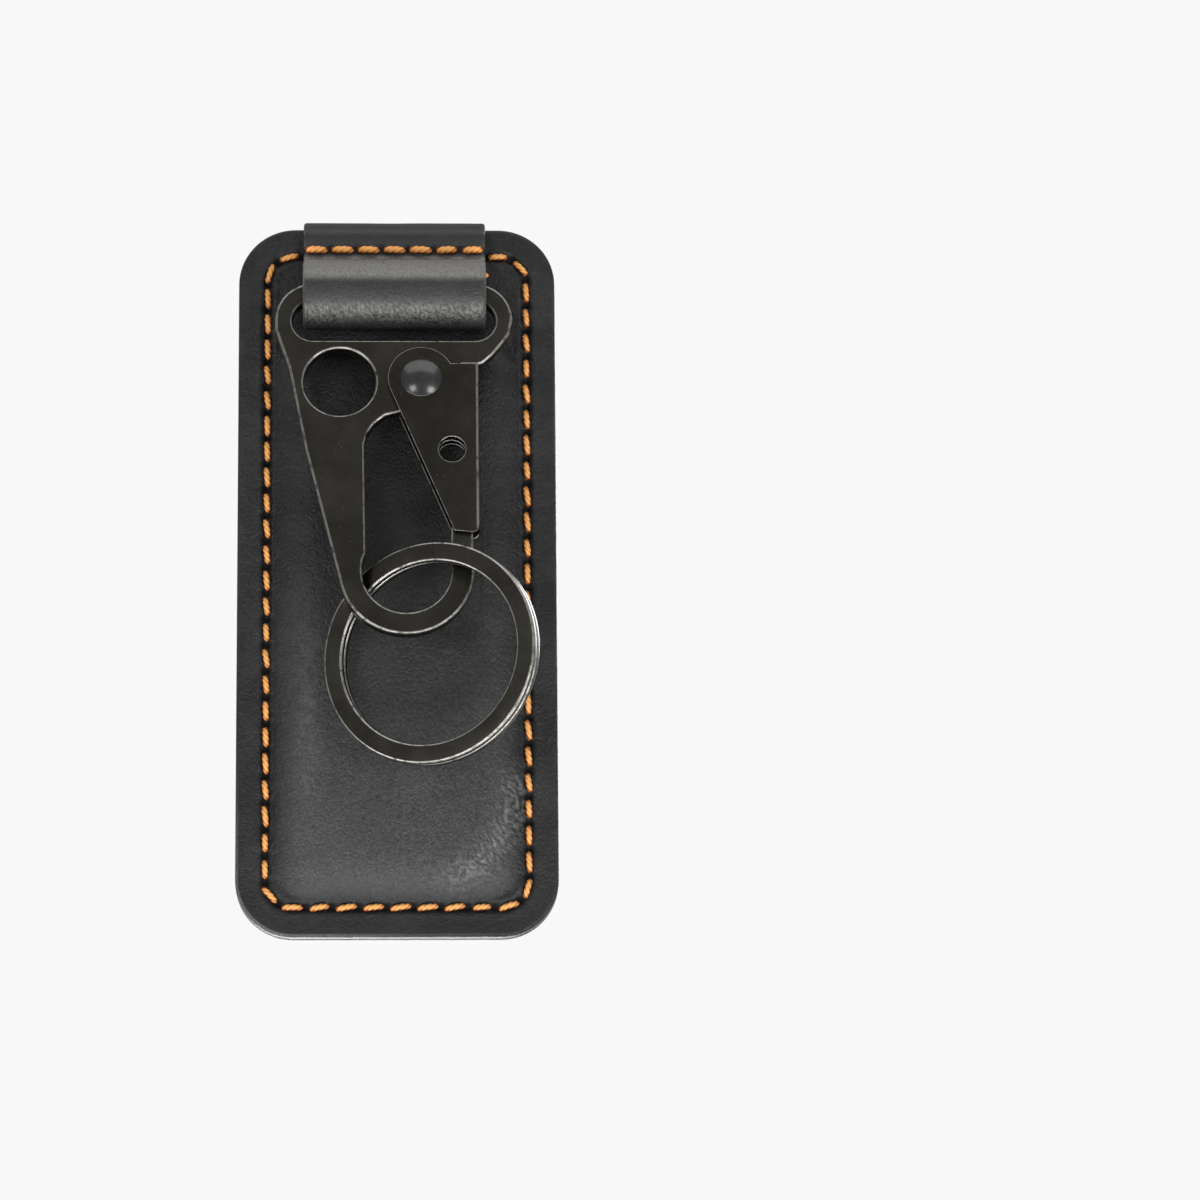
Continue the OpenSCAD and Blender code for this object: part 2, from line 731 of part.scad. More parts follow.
module key_ring() {
  color("#57534c") in_hook()
    translate([ring_centre[0] * ring_d, -ring_centre[1] * ring_d, ring_centre[2] * ring_d])
      rotate([0, -ring_rise_dir, 0]) rotate([0, 0, -ring_tilt]) rotate([90, 0, 0]) rotate([0, 0, step_turn]) {
        for (z = [-ring_layer, ring_layer])
          rotate([0, 0, step_angle / 2]) translate([0, 0, z])
            rotate_extrude(angle = 360 - step_angle, $fn = 2 * round_faces) ring_section(0);
        for (i = [0:len(step_shares) - 2])
          hull() {
            ring_slice(step_shares[i]);
            ring_slice(step_shares[i + 1]);
          }
      }
}

// One stitch seen from the front, lying along x with its middle at the origin
stitch_steps = 4;
module stitch(length, d) {
  straight = length / 2 - d / 2;
  polygon(concat(
    arc([straight, 0], d / 2, -90, 90, stitch_steps),
    arc([-straight, 0], d / 2, 90, 270, stitch_steps)
  ));
}

// The seam runs from the strap's left edge round the panel to its right edge, drawn in x and z
strap_lo = strap_x - strap_w / 2;
strap_hi = strap_x + strap_w / 2;
seam_ring = rounded(
  body_w / 2 - stitch_inset, body_bottom + stitch_inset, strap_row_z, body_corner_r - stitch_inset
);
seam_path = concat(
  [[strap_lo, strap_row_z]],
  [for (i = [0:outline_n - 1]) seam_ring[(i + corner_steps + 1) % outline_n]],
  [[strap_hi, strap_row_z]]
);
strap_row = [[strap_lo, strap_row_z], [strap_hi, strap_row_z]];
tack_row = [for (x = [strap_lo, strap_hi]) [x + stitch_pitch / 4, tack_row_z]];

// Stitches spread evenly along a path, each a share of the pitch long
module stitches(path, share, d) {
  last = len(path) - 1;
  so_far = [for (i = 0, s = 0; i <= last; s = s + (i < last ? norm(path[i + 1] - path[i]) : 0), i = i + 1) s];
  xs = [for (i = [0:last]) [so_far[i], path[i][0]]];
  zs = [for (i = [0:last]) [so_far[i], path[i][1]]];
  count = max(1, round(so_far[last] / stitch_pitch));
  pitch = so_far[last] / count;
  half = share * pitch / 2;
  for (i = [0:count - 1])
    let (
      mid = (i + 1 / 2) * pitch,
      from = [lookup(mid - half, xs), lookup(mid - half, zs)],
      to = [lookup(mid + half, xs), lookup(mid + half, zs)]
    )
    translate((from + to) / 2) rotate(atan2(to[1] - from[1], to[0] - from[0])) stitch(norm(to - from), d);
}

// Front stitches along a path, standing on the plane y
module needle_stitches(path, y) {
  upright(y - seat_gap - 0.8 * needle_d, y - seat_gap) stitches(path, needle_share, needle_d);
}

// Back stitches along a path, standing on the plane y
module bobbin_stitches(path, y) {
  upright(y + seat_gap, y + seat_gap + 0.8 * bobbin_d) stitches(path, bobbin_share, bobbin_d);
}

module needle_thread() {
  color("#d9822b") {
    needle_stitches(strap_row, strap_front_y - strap_t / 2);
    needle_stitches(seam_path, edge_y + groove_depth);
  }
}

module tack_thread() {
  color("#d9822b") {
    needle_stitches(tack_row, strap_rear_y - strap_t / 2);
    bobbin_stitches(tack_row, 0);
  }
}

module bobbin_thread() {
  color("#1c1c1e") {
    bobbin_stitches(strap_row, -2 * groove_depth);
    bobbin_stitches(seam_path, -2 * groove_depth);
  }
}

front_panel();
back_panel();
foam_pad();
stiffener_board();
strap_loop();
belt_clip();
clip_rivets();
clip_rivet_washers();
hook_plate();
gate();
gate_rivet();
gate_spring();
key_ring();
needle_thread();
tack_thread();
bobbin_thread();
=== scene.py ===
import math
from functools import partial

import bmesh
import bpy
import numpy as np
from mathutils import Matrix, Vector, noise


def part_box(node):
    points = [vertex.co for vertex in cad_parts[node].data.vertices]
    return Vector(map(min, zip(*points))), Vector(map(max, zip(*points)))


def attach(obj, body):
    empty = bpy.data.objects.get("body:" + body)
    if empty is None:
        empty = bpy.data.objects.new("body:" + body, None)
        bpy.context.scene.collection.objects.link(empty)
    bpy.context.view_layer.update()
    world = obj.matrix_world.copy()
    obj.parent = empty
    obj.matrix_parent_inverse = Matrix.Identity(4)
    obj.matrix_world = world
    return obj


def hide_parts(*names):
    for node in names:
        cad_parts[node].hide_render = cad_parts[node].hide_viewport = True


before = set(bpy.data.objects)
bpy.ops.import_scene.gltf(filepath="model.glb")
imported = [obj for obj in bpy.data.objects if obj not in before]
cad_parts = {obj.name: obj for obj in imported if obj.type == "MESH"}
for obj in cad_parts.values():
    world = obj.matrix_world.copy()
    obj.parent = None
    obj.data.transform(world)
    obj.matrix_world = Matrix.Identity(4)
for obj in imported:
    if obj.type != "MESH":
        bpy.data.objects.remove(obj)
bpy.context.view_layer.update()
mm = 0.001


# Camera: it stands where the photograph's did for the front view of the clip, straight in front
# and 14 degrees below level. It is turned, not shifted, so that the clip keeps its place in the picture.
def placed(name, data):
    """A new object in the scene."""
    made = bpy.data.objects.new(name, data)
    bpy.context.scene.collection.objects.link(made)
    return made


picture_px = 1200
focal_px = 5462
panel_px = (397.1, 577.5)
camera_distance = 855 * mm
camera_elevation = math.radians(-14)
sensor_w = 36
seam_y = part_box("back_panel")[0].y
leather_t = -seam_y
panel_low, panel_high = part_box("front_panel")
flat_y = seam_y - leather_t
panel_middle = Vector((0, flat_y, (panel_low.z + panel_high.z) / 2))
towards_camera = Vector((0, -math.cos(camera_elevation), math.sin(camera_elevation)))
picture_right = Vector((1, 0, 0))
picture_up = towards_camera.cross(picture_right)
px_at_panel = camera_distance / focal_px
aim = panel_middle + picture_right * (picture_px / 2 - panel_px[0]) * px_at_panel
aim -= picture_up * (picture_px / 2 - panel_px[1]) * px_at_panel
lens = bpy.data.cameras.new("camera")
lens.sensor_width = sensor_w
lens.lens = sensor_w * focal_px / picture_px
lens.clip_start, lens.clip_end = 0.01, 20
camera = placed("camera", lens)
stand = panel_middle + towards_camera * camera_distance
forward = (aim - stand).normalized()
side = forward.cross(picture_up).normalized()
turn = Matrix((side, side.cross(forward), -forward)).transposed()
camera.matrix_world = Matrix.Translation(stand) @ turn.to_4x4()
bpy.context.scene.camera = camera
bpy.context.scene.view_settings.view_transform = "Standard"


# Studio: a pale surround seen directly and in the metal, and an even soft light. A wide lamp hangs
# overhead, two long ones lie low in front, which the rivet's head mirrors, and the others fill in.
def add(tree, kind, inputs=None, **settings):
    """One node with its settings; each of its inputs is linked if it gets a socket, and set otherwise."""
    made = tree.nodes.new(kind)
    for key, value in settings.items():
        setattr(made, key, value)
    for key, value in (inputs or {}).items():
        if isinstance(value, bpy.types.NodeSocket):
            tree.links.new(value, made.inputs[key])
        else:
            made.inputs[key].default_value = value
    return made


def made_by(tree, kind, inputs=None, **settings):
    """The first output of a new node."""
    return add(tree, kind, inputs, **settings).outputs[0]


def maths(tree, operation, a, b=0.0, c=0.0, clamp=False):
    return made_by(tree, "ShaderNodeMath", {0: a, 1: b, 2: c}, operation=operation, use_clamp=clamp)


def times(tree, a, b):
    return maths(tree, "MULTIPLY", a, b)


def seen_directly(tree):
    """1 for rays that show the background or its mirror image, 0 for rays that only carry light."""
    rays = add(tree, "ShaderNodeLightPath").outputs
    either = maths(tree, "MAXIMUM", rays["Is Camera Ray"], rays["Is Glossy Ray"])
    return maths(tree, "MAXIMUM", either, rays["Is Transmission Ray"])


def meshed(name, points, edges, faces):
    """A new object in the scene, with a mesh of these points, edges and faces."""
    mesh = bpy.data.meshes.new(name)
    mesh.from_pydata(points, edges, faces)
    return placed(name, mesh)


pale = (0.94, 0.94, 0.94, 1)
white = (1, 1, 1, 1)
ambient = 0.26
world = bpy.data.worlds.new("studio")
bpy.context.scene.world = world
world.use_nodes = True
tree = world.node_tree
tree.nodes.clear()
shown = made_by(tree, "ShaderNodeBackground", {"Color": pale, "Strength": 1.0})
light = made_by(tree, "ShaderNodeBackground", {"Color": white, "Strength": ambient})
both = made_by(tree, "ShaderNodeMixShader", {0: seen_directly(tree), 1: light, 2: shown})
add(tree, "ShaderNodeOutputWorld", {"Surface": both})

lamp_distance = 0.9
for name, azimuth, elevation, wide, high, watts in (
    ("lamp_low_right", 18, -45, 0.70, 0.20, 5.2),
    ("lamp_low_left", -26, -45, 0.44, 0.20, 3.6),
    ("lamp_front_right", 30, -11, 0.28, 0.24, 2.8),
    ("lamp_front_left", -24, -7, 0.26, 0.24, 2.0),
    ("lamp_side_right", 66, -30, 0.40, 0.36, 3.6),
    ("lamp_side_left", -68, -30, 0.40, 0.36, 3.6),
    ("lamp_overhead", 0, 68, 1.30, 0.80, 6.0),
    ("lamp_behind_left", 150, 20, 0.50, 0.30, 3.5),
    ("lamp_behind_right", 190, -20, 0.50, 0.20, 3.0),
):
    data = bpy.data.lights.new(name, "AREA")
    data.shape, data.size, data.size_y, data.energy = "RECTANGLE", wide, high, watts
    azimuth, elevation = math.radians(azimuth), math.radians(elevation)
    level = math.cos(elevation)
    direction = Vector((math.sin(azimuth) * level, -math.cos(azimuth) * level, math.sin(elevation)))
    spot = Matrix.Translation(panel_middle + direction * lamp_distance)
    placed(name, data).matrix_world = spot @ direction.to_track_quat("Z", "Y").to_matrix().to_4x4()

floor_z = -900 * mm
floor_half = 6
floor_grey = (0.85, 0.85, 0.85, 1)
floor_glow = 0.78
corners = [(x * floor_half, y * floor_half, floor_z) for x, y in ((-1, -1), (1, -1), (1, 1), (-1, 1))]
floor = meshed("floor", corners, [], [(0, 1, 2, 3)])
floor_paint = bpy.data.materials.new("floor_paint")
floor_paint.use_nodes = True
tree = floor_paint.node_tree
tree.nodes.clear()
plain = made_by(tree, "ShaderNodeBsdfDiffuse", {"Color": floor_grey})
glow = made_by(tree, "ShaderNodeEmission", {"Color": pale, "Strength": floor_glow})
lit = made_by(tree, "ShaderNodeAddShader", {0: plain, 1: glow})
both = made_by(tree, "ShaderNodeMixShader", {0: seen_directly(tree), 1: plain, 2: lit})
add(tree, "ShaderNodeOutputMaterial", {"Surface": both})
floor.data.materials.append(floor_paint)


# Front leather: one panel of black grain leather, 1.8 mm thick, moulded over the pad, with a painted
# round edge. The seam pulls a groove into it, and each stitch hole a small pit darkened with painted shade.
def group(name, inputs, outputs):
    """A shader node group, still without its own nodes: the tree and its inputs' sockets."""
    made = bpy.data.node_groups.new(name, "ShaderNodeTree")
    for label, value in inputs.items():
        made.interface.new_socket(label, in_out="INPUT", socket_type="NodeSocketFloat").default_value = value
    for label in outputs:
        made.interface.new_socket(label, in_out="OUTPUT", socket_type="NodeSocketFloat")
    return made, made.nodes.new("NodeGroupInput").outputs


def place_on(tree):
    return add(tree, "ShaderNodeTexCoord").outputs["Object"]


def painted(tree, name):
    """The numbers that a piece's points hold under this name."""
    return add(tree, "ShaderNodeAttribute", attribute_name=name).outputs["Fac"]


def noise_of(tree, vector, scale, detail=2.0, rough=0.5):
    inputs = {"Vector": vector, "Scale": scale, "Detail": detail, "Roughness": rough}
    return add(tree, "ShaderNodeTexNoise", inputs).outputs["Fac"]


def cells_of(tree, vector, scale, feature):
    inputs = {"Vector": vector, "Scale": scale}
    return add(tree, "ShaderNodeTexVoronoi", inputs, feature=feature).outputs["Distance"]


def window(tree, value, low, high):
    """0 below low, 1 above high and smooth between."""
    inputs = {"Value": value, "From Min": low, "From Max": high}
    return add(tree, "ShaderNodeMapRange", inputs, interpolation_type="SMOOTHSTEP").outputs["Result"]


# Grain of the leather: cells a fraction of a millimetre wide with creases between them.
# Every scale of a pattern is per metre.
grain_inputs = {"Cells per metre": 2500.0, "Crease": 0.5}
grain, given = group("Leather grain", grain_inputs, ["Height", "Tone", "Mottle"])
where = place_on(grain)
wander = add(grain, "ShaderNodeTexNoise", {"Vector": where, "Scale": 700.0, "Detail": 2.0}).outputs["Color"]
moved = made_by(grain, "ShaderNodeVectorMath", {0: wander, 1: (0.0006, 0.0006, 0.0006)}, operation="MULTIPLY")
bent = made_by(grain, "ShaderNodeVectorMath", {0: where, 1: moved}, operation="ADD")
cells = cells_of(grain, bent, given["Cells per metre"], "SMOOTH_F1")
creases = window(grain, cells_of(grain, bent, 620.0, "DISTANCE_TO_EDGE"), low=0.0, high=0.16)
fine = noise_of(grain, where, scale=9000.0, detail=3.0)
height = maths(grain, "SUBTRACT", times(grain, fine, 0.5), times(grain, cells, 0.9))
height = maths(grain, "ADD", height, times(grain, creases, given["Crease"]))
tone = noise_of(grain, where, scale=140.0, detail=5.0, rough=0.65)
mottle = noise_of(grain, where, scale=3400.0, detail=3.0, rough=0.6)
mottle = window(grain, maths(grain, "ADD", mottle, times(grain, cells, -0.3)), low=0.15, high=0.62)
add(grain, "NodeGroupOutput", {"Height": height, "Tone": tone, "Mottle": mottle})


def principled(name, base, roughness, metallic=0.0, specular=0.5):
    """A material with its Principled shader, whose plain numbers are set on its own sockets."""
    made = bpy.data.materials.new(name)
    made.use_nodes = True
    shader = made.node_tree.nodes["Principled BSDF"]
    shader.inputs["Base Color"].default_value = (*base, 1)
    shader.inputs["Roughness"].default_value = roughness
    shader.inputs["Metallic"].default_value = metallic
    shader.inputs["Specular IOR Level"].default_value = specular
    return made, made.node_tree, shader


def mixed(tree, share, a, b):
    """Colour a where share is 0 and b where it is 1; a and b are colours or sockets."""
    a, b = ((*c, 1) if isinstance(c, tuple) else c for c in (a, b))
    return add(tree, "ShaderNodeMix", {0: share, 6: a, 7: b}, data_type="RGBA").outputs[2]


def surface(tree, shader, colour, height, depth, rough=None):
    """Links a colour, a height as bump and, where one is given, a roughness to the shader."""
    bump = made_by(tree, "ShaderNodeBump", {"Height": height, "Distance": depth, "Strength": 1.0})
    for label, socket in (("Base Color", colour), ("Roughness", rough), ("Normal", bump)):
        if socket is not None:
            tree.links.new(socket, shader.inputs[label])


# The black that painted shade darkens the leather towards, in holes, grooves and under the hook's plate
painted_shade_black = (0.001, 0.001, 0.001)


def leather(name, cells, crease, depth, dark, light, rubbed, roughness, specular):
    """Leather finish: mottled grain, lighter where its wear and painted highlights lie, and darker where
    painted shade lies.
    """
    made, tree, shader = principled(name, dark, roughness, specular=specular)
    use = add(tree, "ShaderNodeGroup", {"Cells per metre": cells, "Crease": crease}, node_tree=grain).outputs
    colour = mixed(tree, window(tree, use["Tone"], low=0.38, high=0.66), dark, light)
    colour = mixed(tree, painted(tree, "rubbed"), colour, rubbed)
    spots = maths(tree, "ADD", times(tree, use["Mottle"], 0.7), 0.65)
    colour = made_by(tree, "ShaderNodeVectorMath", {0: colour, "Scale": spots}, operation="SCALE")
    shade = painted(tree, "shade")
    rough = maths(tree, "MULTIPLY_ADD", use["Tone"], 0.25, roughness - 0.12)
    rough = maths(tree, "ADD", rough, times(tree, shade, 0.4), clamp=True)
    surface(tree, shader, mixed(tree, shade, colour, painted_shade_black), use["Height"], depth, rough)
    return made


corner_r = 9 * mm
least_corner = 0.05 * corner_r
seam_inset = 4.6 * mm
stitch_pitch = 4.2 * mm
top_steps, corner_steps, side_steps, bottom_steps = 30, 18, 250, 72
half_w = panel_high.x
strap_low, strap_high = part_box("strap_loop")


def ring_points(inset):
    """The panel's outline drawn in by inset: points in x and z from the top's middle round by the left."""
    r = max(corner_r - inset, least_corner) if inset < half_w else 0
    hw, low, high = half_w - inset, panel_low.z + inset, panel_high.z - inset
    r = min(r, hw)
    x, z = hw - r, high - r
    bottom = low + r

    def line(a, b, steps):
        return [(a[0] + (b[0] - a[0]) * i / steps, a[1] + (b[1] - a[1]) * i / steps) for i in range(steps)]

    def bend(cx, cz, start):
        angles = [math.radians(start + 90 * i / corner_steps) for i in range(corner_steps)]
        return [(cx + r * math.cos(a), cz + r * math.sin(a)) for a in angles]

    return np.array(
        line((0, high), (-x, high), top_steps) + bend(-x, z, 90) + line((-hw, z), (-hw, bottom), side_steps)
        + bend(-x, bottom, 180) + line((-x, low), (x, low), bottom_steps) + bend(x, bottom, 270)
        + line((hw, bottom), (hw, z), side_steps) + bend(x, z, 0) + line((x, high), (0, high), top_steps)
    )


seam_line = ring_points(seam_inset)
seam_steps = np.linalg.norm(np.roll(seam_line, -1, 0) - seam_line, axis=1)
seam_at = np.concatenate([[0], np.cumsum(seam_steps)[:-1]]) + strap_low.x
seam_length = seam_steps.sum() + strap_low.x - strap_high.x
seam_stitch_count = round(seam_length / stitch_pitch)
seam_pitch = seam_length / seam_stitch_count


def bell(distance, width):
    return np.exp(-((distance / width) ** 2))


def ramp(value, start, length):
    """0 up to start, then rising evenly to 1 over the length."""
    return np.clip((value - start) / length, 0, 1)


def away_from(at, x, z):
    """Distance of each point of a ring from the spot x, z."""
    return np.hypot(at[:, 0] - x, at[:, 1] - z)


def seam_shape(inset, pit_width, pit_depth):
    """For each point of a ring: the depth and darkness of the stitch holes' pits, and the way to a hole."""
    on_seam = (seam_at > -stitch_pitch / 4) & (seam_at < seam_length + stitch_pitch / 4)
    along = np.abs((seam_at / seam_pitch + 0.5) % 1 - 0.5) * seam_pitch
    across = inset - seam_inset
    pit = bell(along, pit_width) * bell(across, 0.8 * pit_width) * on_seam
    return pit * pit_depth, np.clip(2.2 * pit, 0, 1), along


def rough_noise(points, scale, seed):
    """Smooth noise from -1 to 1 at each of the points in x and z."""
    return np.array([noise.noise(Vector((x * scale, seed, z * scale))) for x, z in points])


def level_ring(at, y):
    """The points of a ring at y, which is one number or one for each point."""
    return np.column_stack([at[:, 0], np.full(len(at), y), at[:, 1]])


weld, sliver = 0.002 * mm, 0.001 * mm


def mesh_of_rings(name, rings, **attributes):
    """A closed mesh through rings of the same number of points; attributes hold one list for each ring."""
    count = len(rings[0])
    points = [tuple(p) for ring in rings for p in ring]
    faces = []
    for k in range(len(rings) - 1):
        for i in range(count):
            j = (i + 1) % count
            faces.append((k * count + i, k * count + j, (k + 1) * count + j, (k + 1) * count + i))
    made = meshed(name, points, [], faces)
    for label, values in attributes.items():
        layer = made.data.attributes.new(label, "FLOAT", "POINT")
        layer.data.foreach_set("value", np.concatenate(values).astype(np.float32))
    work = bmesh.new()
    work.from_mesh(made.data)
    bmesh.ops.remove_doubles(work, verts=work.verts, dist=weld)
    bmesh.ops.dissolve_degenerate(work, edges=work.edges, dist=sliver)
    bmesh.ops.recalc_face_normals(work, faces=work.faces)
    work.to_mesh(made.data)
    work.free()
    made.data.shade_smooth()
    return made


def dressed(piece, material, body, slot, *replaced):
    """Gives a finished piece its material and its body, and hides the nodes that it stands for; slot is not
    used.
    """
    piece.data.materials.clear()
    piece.data.materials.append(material)
    if replaced:
        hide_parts(*replaced)
    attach(piece, body)
    return piece


crown_inset, crown_top_inset = 5.8 * mm, 19.5 * mm
crown_low, crown_high = panel_low.z + crown_inset, panel_high.z - crown_top_inset
crown_half = half_w - crown_inset
crown_r = 6 * mm
crown_slope, crown_fullness = 9.6 * mm, 3.2
crown_rise = flat_y - panel_low.y


def crown(points, rise):
    """Height of the padded crown over the flat of the panel."""
    middle = (crown_low + crown_high) / 2
    x = np.abs(points[:, 0]) - (crown_half - crown_r)
    z = np.abs(points[:, 1] - middle) - ((crown_high - crown_low) / 2 - crown_r)
    outside = np.hypot(np.maximum(x, 0), np.maximum(z, 0)) + np.minimum(np.maximum(x, z), 0) - crown_r
    inside = np.clip(-outside / crown_slope, 0, 1)
    return rise * (1 - (1 - inside) ** crown_fullness)


# Rings of both panels' outer faces, close together round the seam, and steps of their rounded edge
surface_insets = np.concatenate([
    np.linspace(0.55, 3.4, 9), np.arange(3.6, 6.1, 0.2), np.arange(6.4, 16, 0.45), np.linspace(16.5, 25, 14)
]) * mm
edge_r = 0.55 * mm
edge_angles = np.radians([0, 22, 45, 68])

# The glued face follows the crown from behind; then come the wall and the painted round edge
front_rings = []
for inset in (half_w, 16 * mm, 9 * mm, 6 * mm, 0.3 * mm):
    at = ring_points(inset)
    front_rings.append(level_ring(at, np.minimum(flat_y + leather_t - crown(at, crown_rise), seam_y)))
bare = np.zeros(len(seam_line))
front_rubbed = [bare] * len(front_rings)
wall = [(0.1 * mm, seam_y), (0, seam_y - 0.12 * mm)]
wall += [(edge_r * (1 - math.cos(a)), flat_y + edge_r - edge_r * math.sin(a)) for a in edge_angles]
for inset, y in wall:
    at = ring_points(inset)
    front_rings.append(level_ring(at, y))
    # The round edge is lighter low on the left, a painted highlight, and a little lighter at random along its
    # length
    corner_highlight = 0.4 * bell(away_from(at, -22 * mm, -98 * mm), 16 * mm)
    front_rubbed.append(np.clip(0.02 + 0.06 * rough_noise(at, scale=120, seed=5.5) + corner_highlight, 0, 1))

# The face: the seam's groove with a bank on each side, uneven swells and a few folds low on the right
front_shades = [bare] * len(front_rings)
groove_deep, groove_w = 0.22 * mm, 0.75 * mm
bank_high, bank_out, bank_w = 0.16 * mm, 1.15 * mm, 0.5 * mm
folds_spot, folds_reach = (15.5 * mm, -82 * mm), 11 * mm
bend_spot, bend_r, bend_w = (4 * mm, -79 * mm), 14.2 * mm, 2.3 * mm
across_folds, squeezed = np.array([[0.5, 0.9], [-0.9, 0.5]]), np.array([1.0, 0.35])
for inset in surface_insets:
    at = ring_points(inset)
    x, z = at.T
    pit, dark, along = seam_shape(inset, pit_width=0.70 * mm, pit_depth=0.8 * mm)
    groove = groove_deep * bell(inset - seam_inset, groove_w)
    bank = bank_high * bell(np.abs(inset - seam_inset) - bank_out, bank_w) * (1 - 0.7 * bell(along, 1.0 * mm))
    swell = 0.10 * mm * rough_noise(at, scale=75, seed=3.1) + 0.05 * mm * rough_noise(at, scale=210, seed=7.7)
    folds = 0.05 * mm * rough_noise(at @ across_folds * squeezed, scale=1100, seed=1.3)
    folds *= bell(away_from(at, *folds_spot), folds_reach)
    y = flat_y - crown(at, crown_rise) + pit + groove - bank - swell * ramp(inset, 1 * mm, 3 * mm) - folds
    front_rings.append(level_ring(at, y))

    # Painted shade: in the holes, on the bottom border, and a painted shadow where the hook's plate lies over
    # it
    low_border_shade = 0.4 * ramp(-z, 91 * mm, 4 * mm) * (inset < 5 * mm)
    plate_shadow = 0.42 * ramp(-np.abs(x - 1 * mm - 0.05 * z), -11 * mm, 6 * mm) * ramp(z, -48 * mm, 10 * mm)
    front_shades.append(np.maximum(np.maximum(dark, low_border_shade), plate_shadow))

    # Lighter: the crown, lighter towards the bottom; a painted highlight on its bend low on the right; and a
    # painted highlight in a soft band down the left
    pebbles = 1 + 0.7 * rough_noise(at, scale=1500, seed=9.1) * np.maximum(ramp(x, -5 * mm, 10 * mm), 0.3)
    worn_and_highlit = 0.21 * ramp(-z, 40 * mm, 45 * mm) * np.clip(crown(at, 1) * 1.3, 0, 1) * pebbles
    crown_bend_highlight = bell(away_from(at, *bend_spot) - bend_r, bend_w) * ramp(x, 5 * mm, 6 * mm)
    crown_bend_highlight *= ramp(-z, 74 * mm, 5 * mm)
    worn_and_highlit += 0.75 * crown_bend_highlight * np.clip(0.3 + 1.6 * rough_noise(at, scale=1700, seed=2.9), 0, 1)
    left_highlight_band = bell(x + 13.8 * mm, 1.9 * mm) * bell(z + 66 * mm, 17 * mm)
    worn_and_highlit += 0.20 * left_highlight_band * np.clip(0.6 + 0.8 * rough_noise(at, scale=900, seed=6.3), 0, 1)
    front_rubbed.append(np.clip(worn_and_highlit, 0, 1))


def box_between(low, high, work):
    """Adds a closed box to a bmesh."""
    scale = Matrix.Diagonal((*(high - low), 1))
    bmesh.ops.create_cube(work, size=1, matrix=Matrix.Translation((low + high) / 2) @ scale)


def settled(piece):
    """Makes what a piece's modifiers show its plain mesh, and takes them off."""
    evaluated = piece.evaluated_get(bpy.context.evaluated_depsgraph_get())
    result = bpy.data.meshes.new_from_object(evaluated)
    piece.modifiers.clear()
    piece.data = result


def cut_away(piece, cutter):
    """Takes the bmesh cutter out of the piece and leaves a plain, smooth mesh."""
    mesh = bpy.data.meshes.new("cutter")
    cutter.to_mesh(mesh)
    cutter.free()
    tool = placed("cutter", mesh)
    cut = piece.modifiers.new("cut", "BOOLEAN")
    cut.operation, cut.solver, cut.object = "DIFFERENCE", "EXACT", tool
    settled(piece)
    piece.data.shade_smooth()
    bpy.data.objects.remove(tool)


# Pockets in its glued face, for the steel clip's leg and for the strap's skived end
front_leather = mesh_of_rings("front_leather", front_rings, shade=front_shades, rubbed=front_rubbed)
clip_low, clip_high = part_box("belt_clip")
leg_gap, leg_low_z = 0.3 * mm, -7.2 * mm
tail_middle = (strap_low.x + strap_high.x) / 2
tail_half_w, tail_deep, tail_low_z = 14.65 * mm, 0.45 * mm, panel_high.z - 8.1 * mm
tail_low = (tail_middle - tail_half_w, seam_y - tail_deep, tail_low_z)
past = 1 * mm
for low, high in (
    ((clip_low.x - leg_gap, clip_low.y - 0.05 * mm, leg_low_z), (clip_high.x + leg_gap, 0, past)),
    (tail_low, (tail_middle + tail_half_w, 0, panel_high.z + past)),
):
    pocket = bmesh.new()
    box_between(Vector(low), Vector(high), pocket)
    cut_away(front_leather, pocket)
panel_finish = leather(
    "panel_leather", cells=2600.0, crease=0.30, depth=0.10 * mm, dark=(0.005, 0.005, 0.0055),
    light=(0.0105, 0.0105, 0.0113), rubbed=(0.115, 0.114, 0.113), roughness=0.36, specular=0.18
)
dressed(front_leather, panel_finish, "holder", "panel_leather", "front_panel")

# Foam pad: dark foam rubber, cut to the crown's outline. It is laid on the board and fills the hollow of
# the front leather, which holds it in place.
foam_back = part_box("stiffener_board")[0].y - 0.04 * mm
foam_least_t, foam_under_leather = 0.05 * mm, 0.12 * mm
foam_rings = [level_ring(ring_points(inset), foam_back) for inset in (half_w, 12 * mm, 8.4 * mm)]
for inset in (8.2, 8.4, 9, 10, 12, 14, 17, 21, 25):
    at = ring_points(inset * mm)
    y = np.minimum(foam_back - foam_least_t, seam_y - crown(at, crown_rise - foam_under_leather))
    foam_rings.append(level_ring(at, y))
foam_low, foam_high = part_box("foam_pad")
for ring in foam_rings:
    ring[:, 2] = np.clip(ring[:, 2], foam_low.z, foam_high.z)
foam_core = mesh_of_rings("foam_core", foam_rings)
foam_finish, tree, shader = principled("foam_rubber", (0.045, 0.045, 0.05), roughness=0.9, specular=0.3)
pores = cells_of(tree, place_on(tree), 1600.0, "F1")
colour = mixed(tree, window(tree, pores, low=0.1, high=0.5), (0.02, 0.02, 0.022), (0.06, 0.06, 0.066))
surface(tree, shader, colour, pores, depth=0.2 * mm)
dressed(foam_core, foam_finish, "holder", "foam", "foam_pad")

# Stiffener: brown board of pressed leather fibre behind the foam. It is glued between the leathers and
# takes the steel clip's rivets, so that the clip doesn't pull through.
board_finish, tree, shader = principled("leatherboard", (0.16, 0.13, 0.10), roughness=0.85, specular=0.25)
stretch = made_by(tree, "ShaderNodeMapping", {"Vector": place_on(tree), "Scale": (1.0, 1.0, 0.25)})
fibres = noise_of(tree, stretch, scale=2600.0, detail=5.0, rough=0.7)
colour = mixed(tree, window(tree, fibres, low=0.35, high=0.7), (0.10, 0.08, 0.062), (0.21, 0.175, 0.14))
surface(tree, shader, colour, fibres, depth=0.08 * mm)
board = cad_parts["stiffener_board"].data
board.materials.clear()
board.materials.append(board_finish)

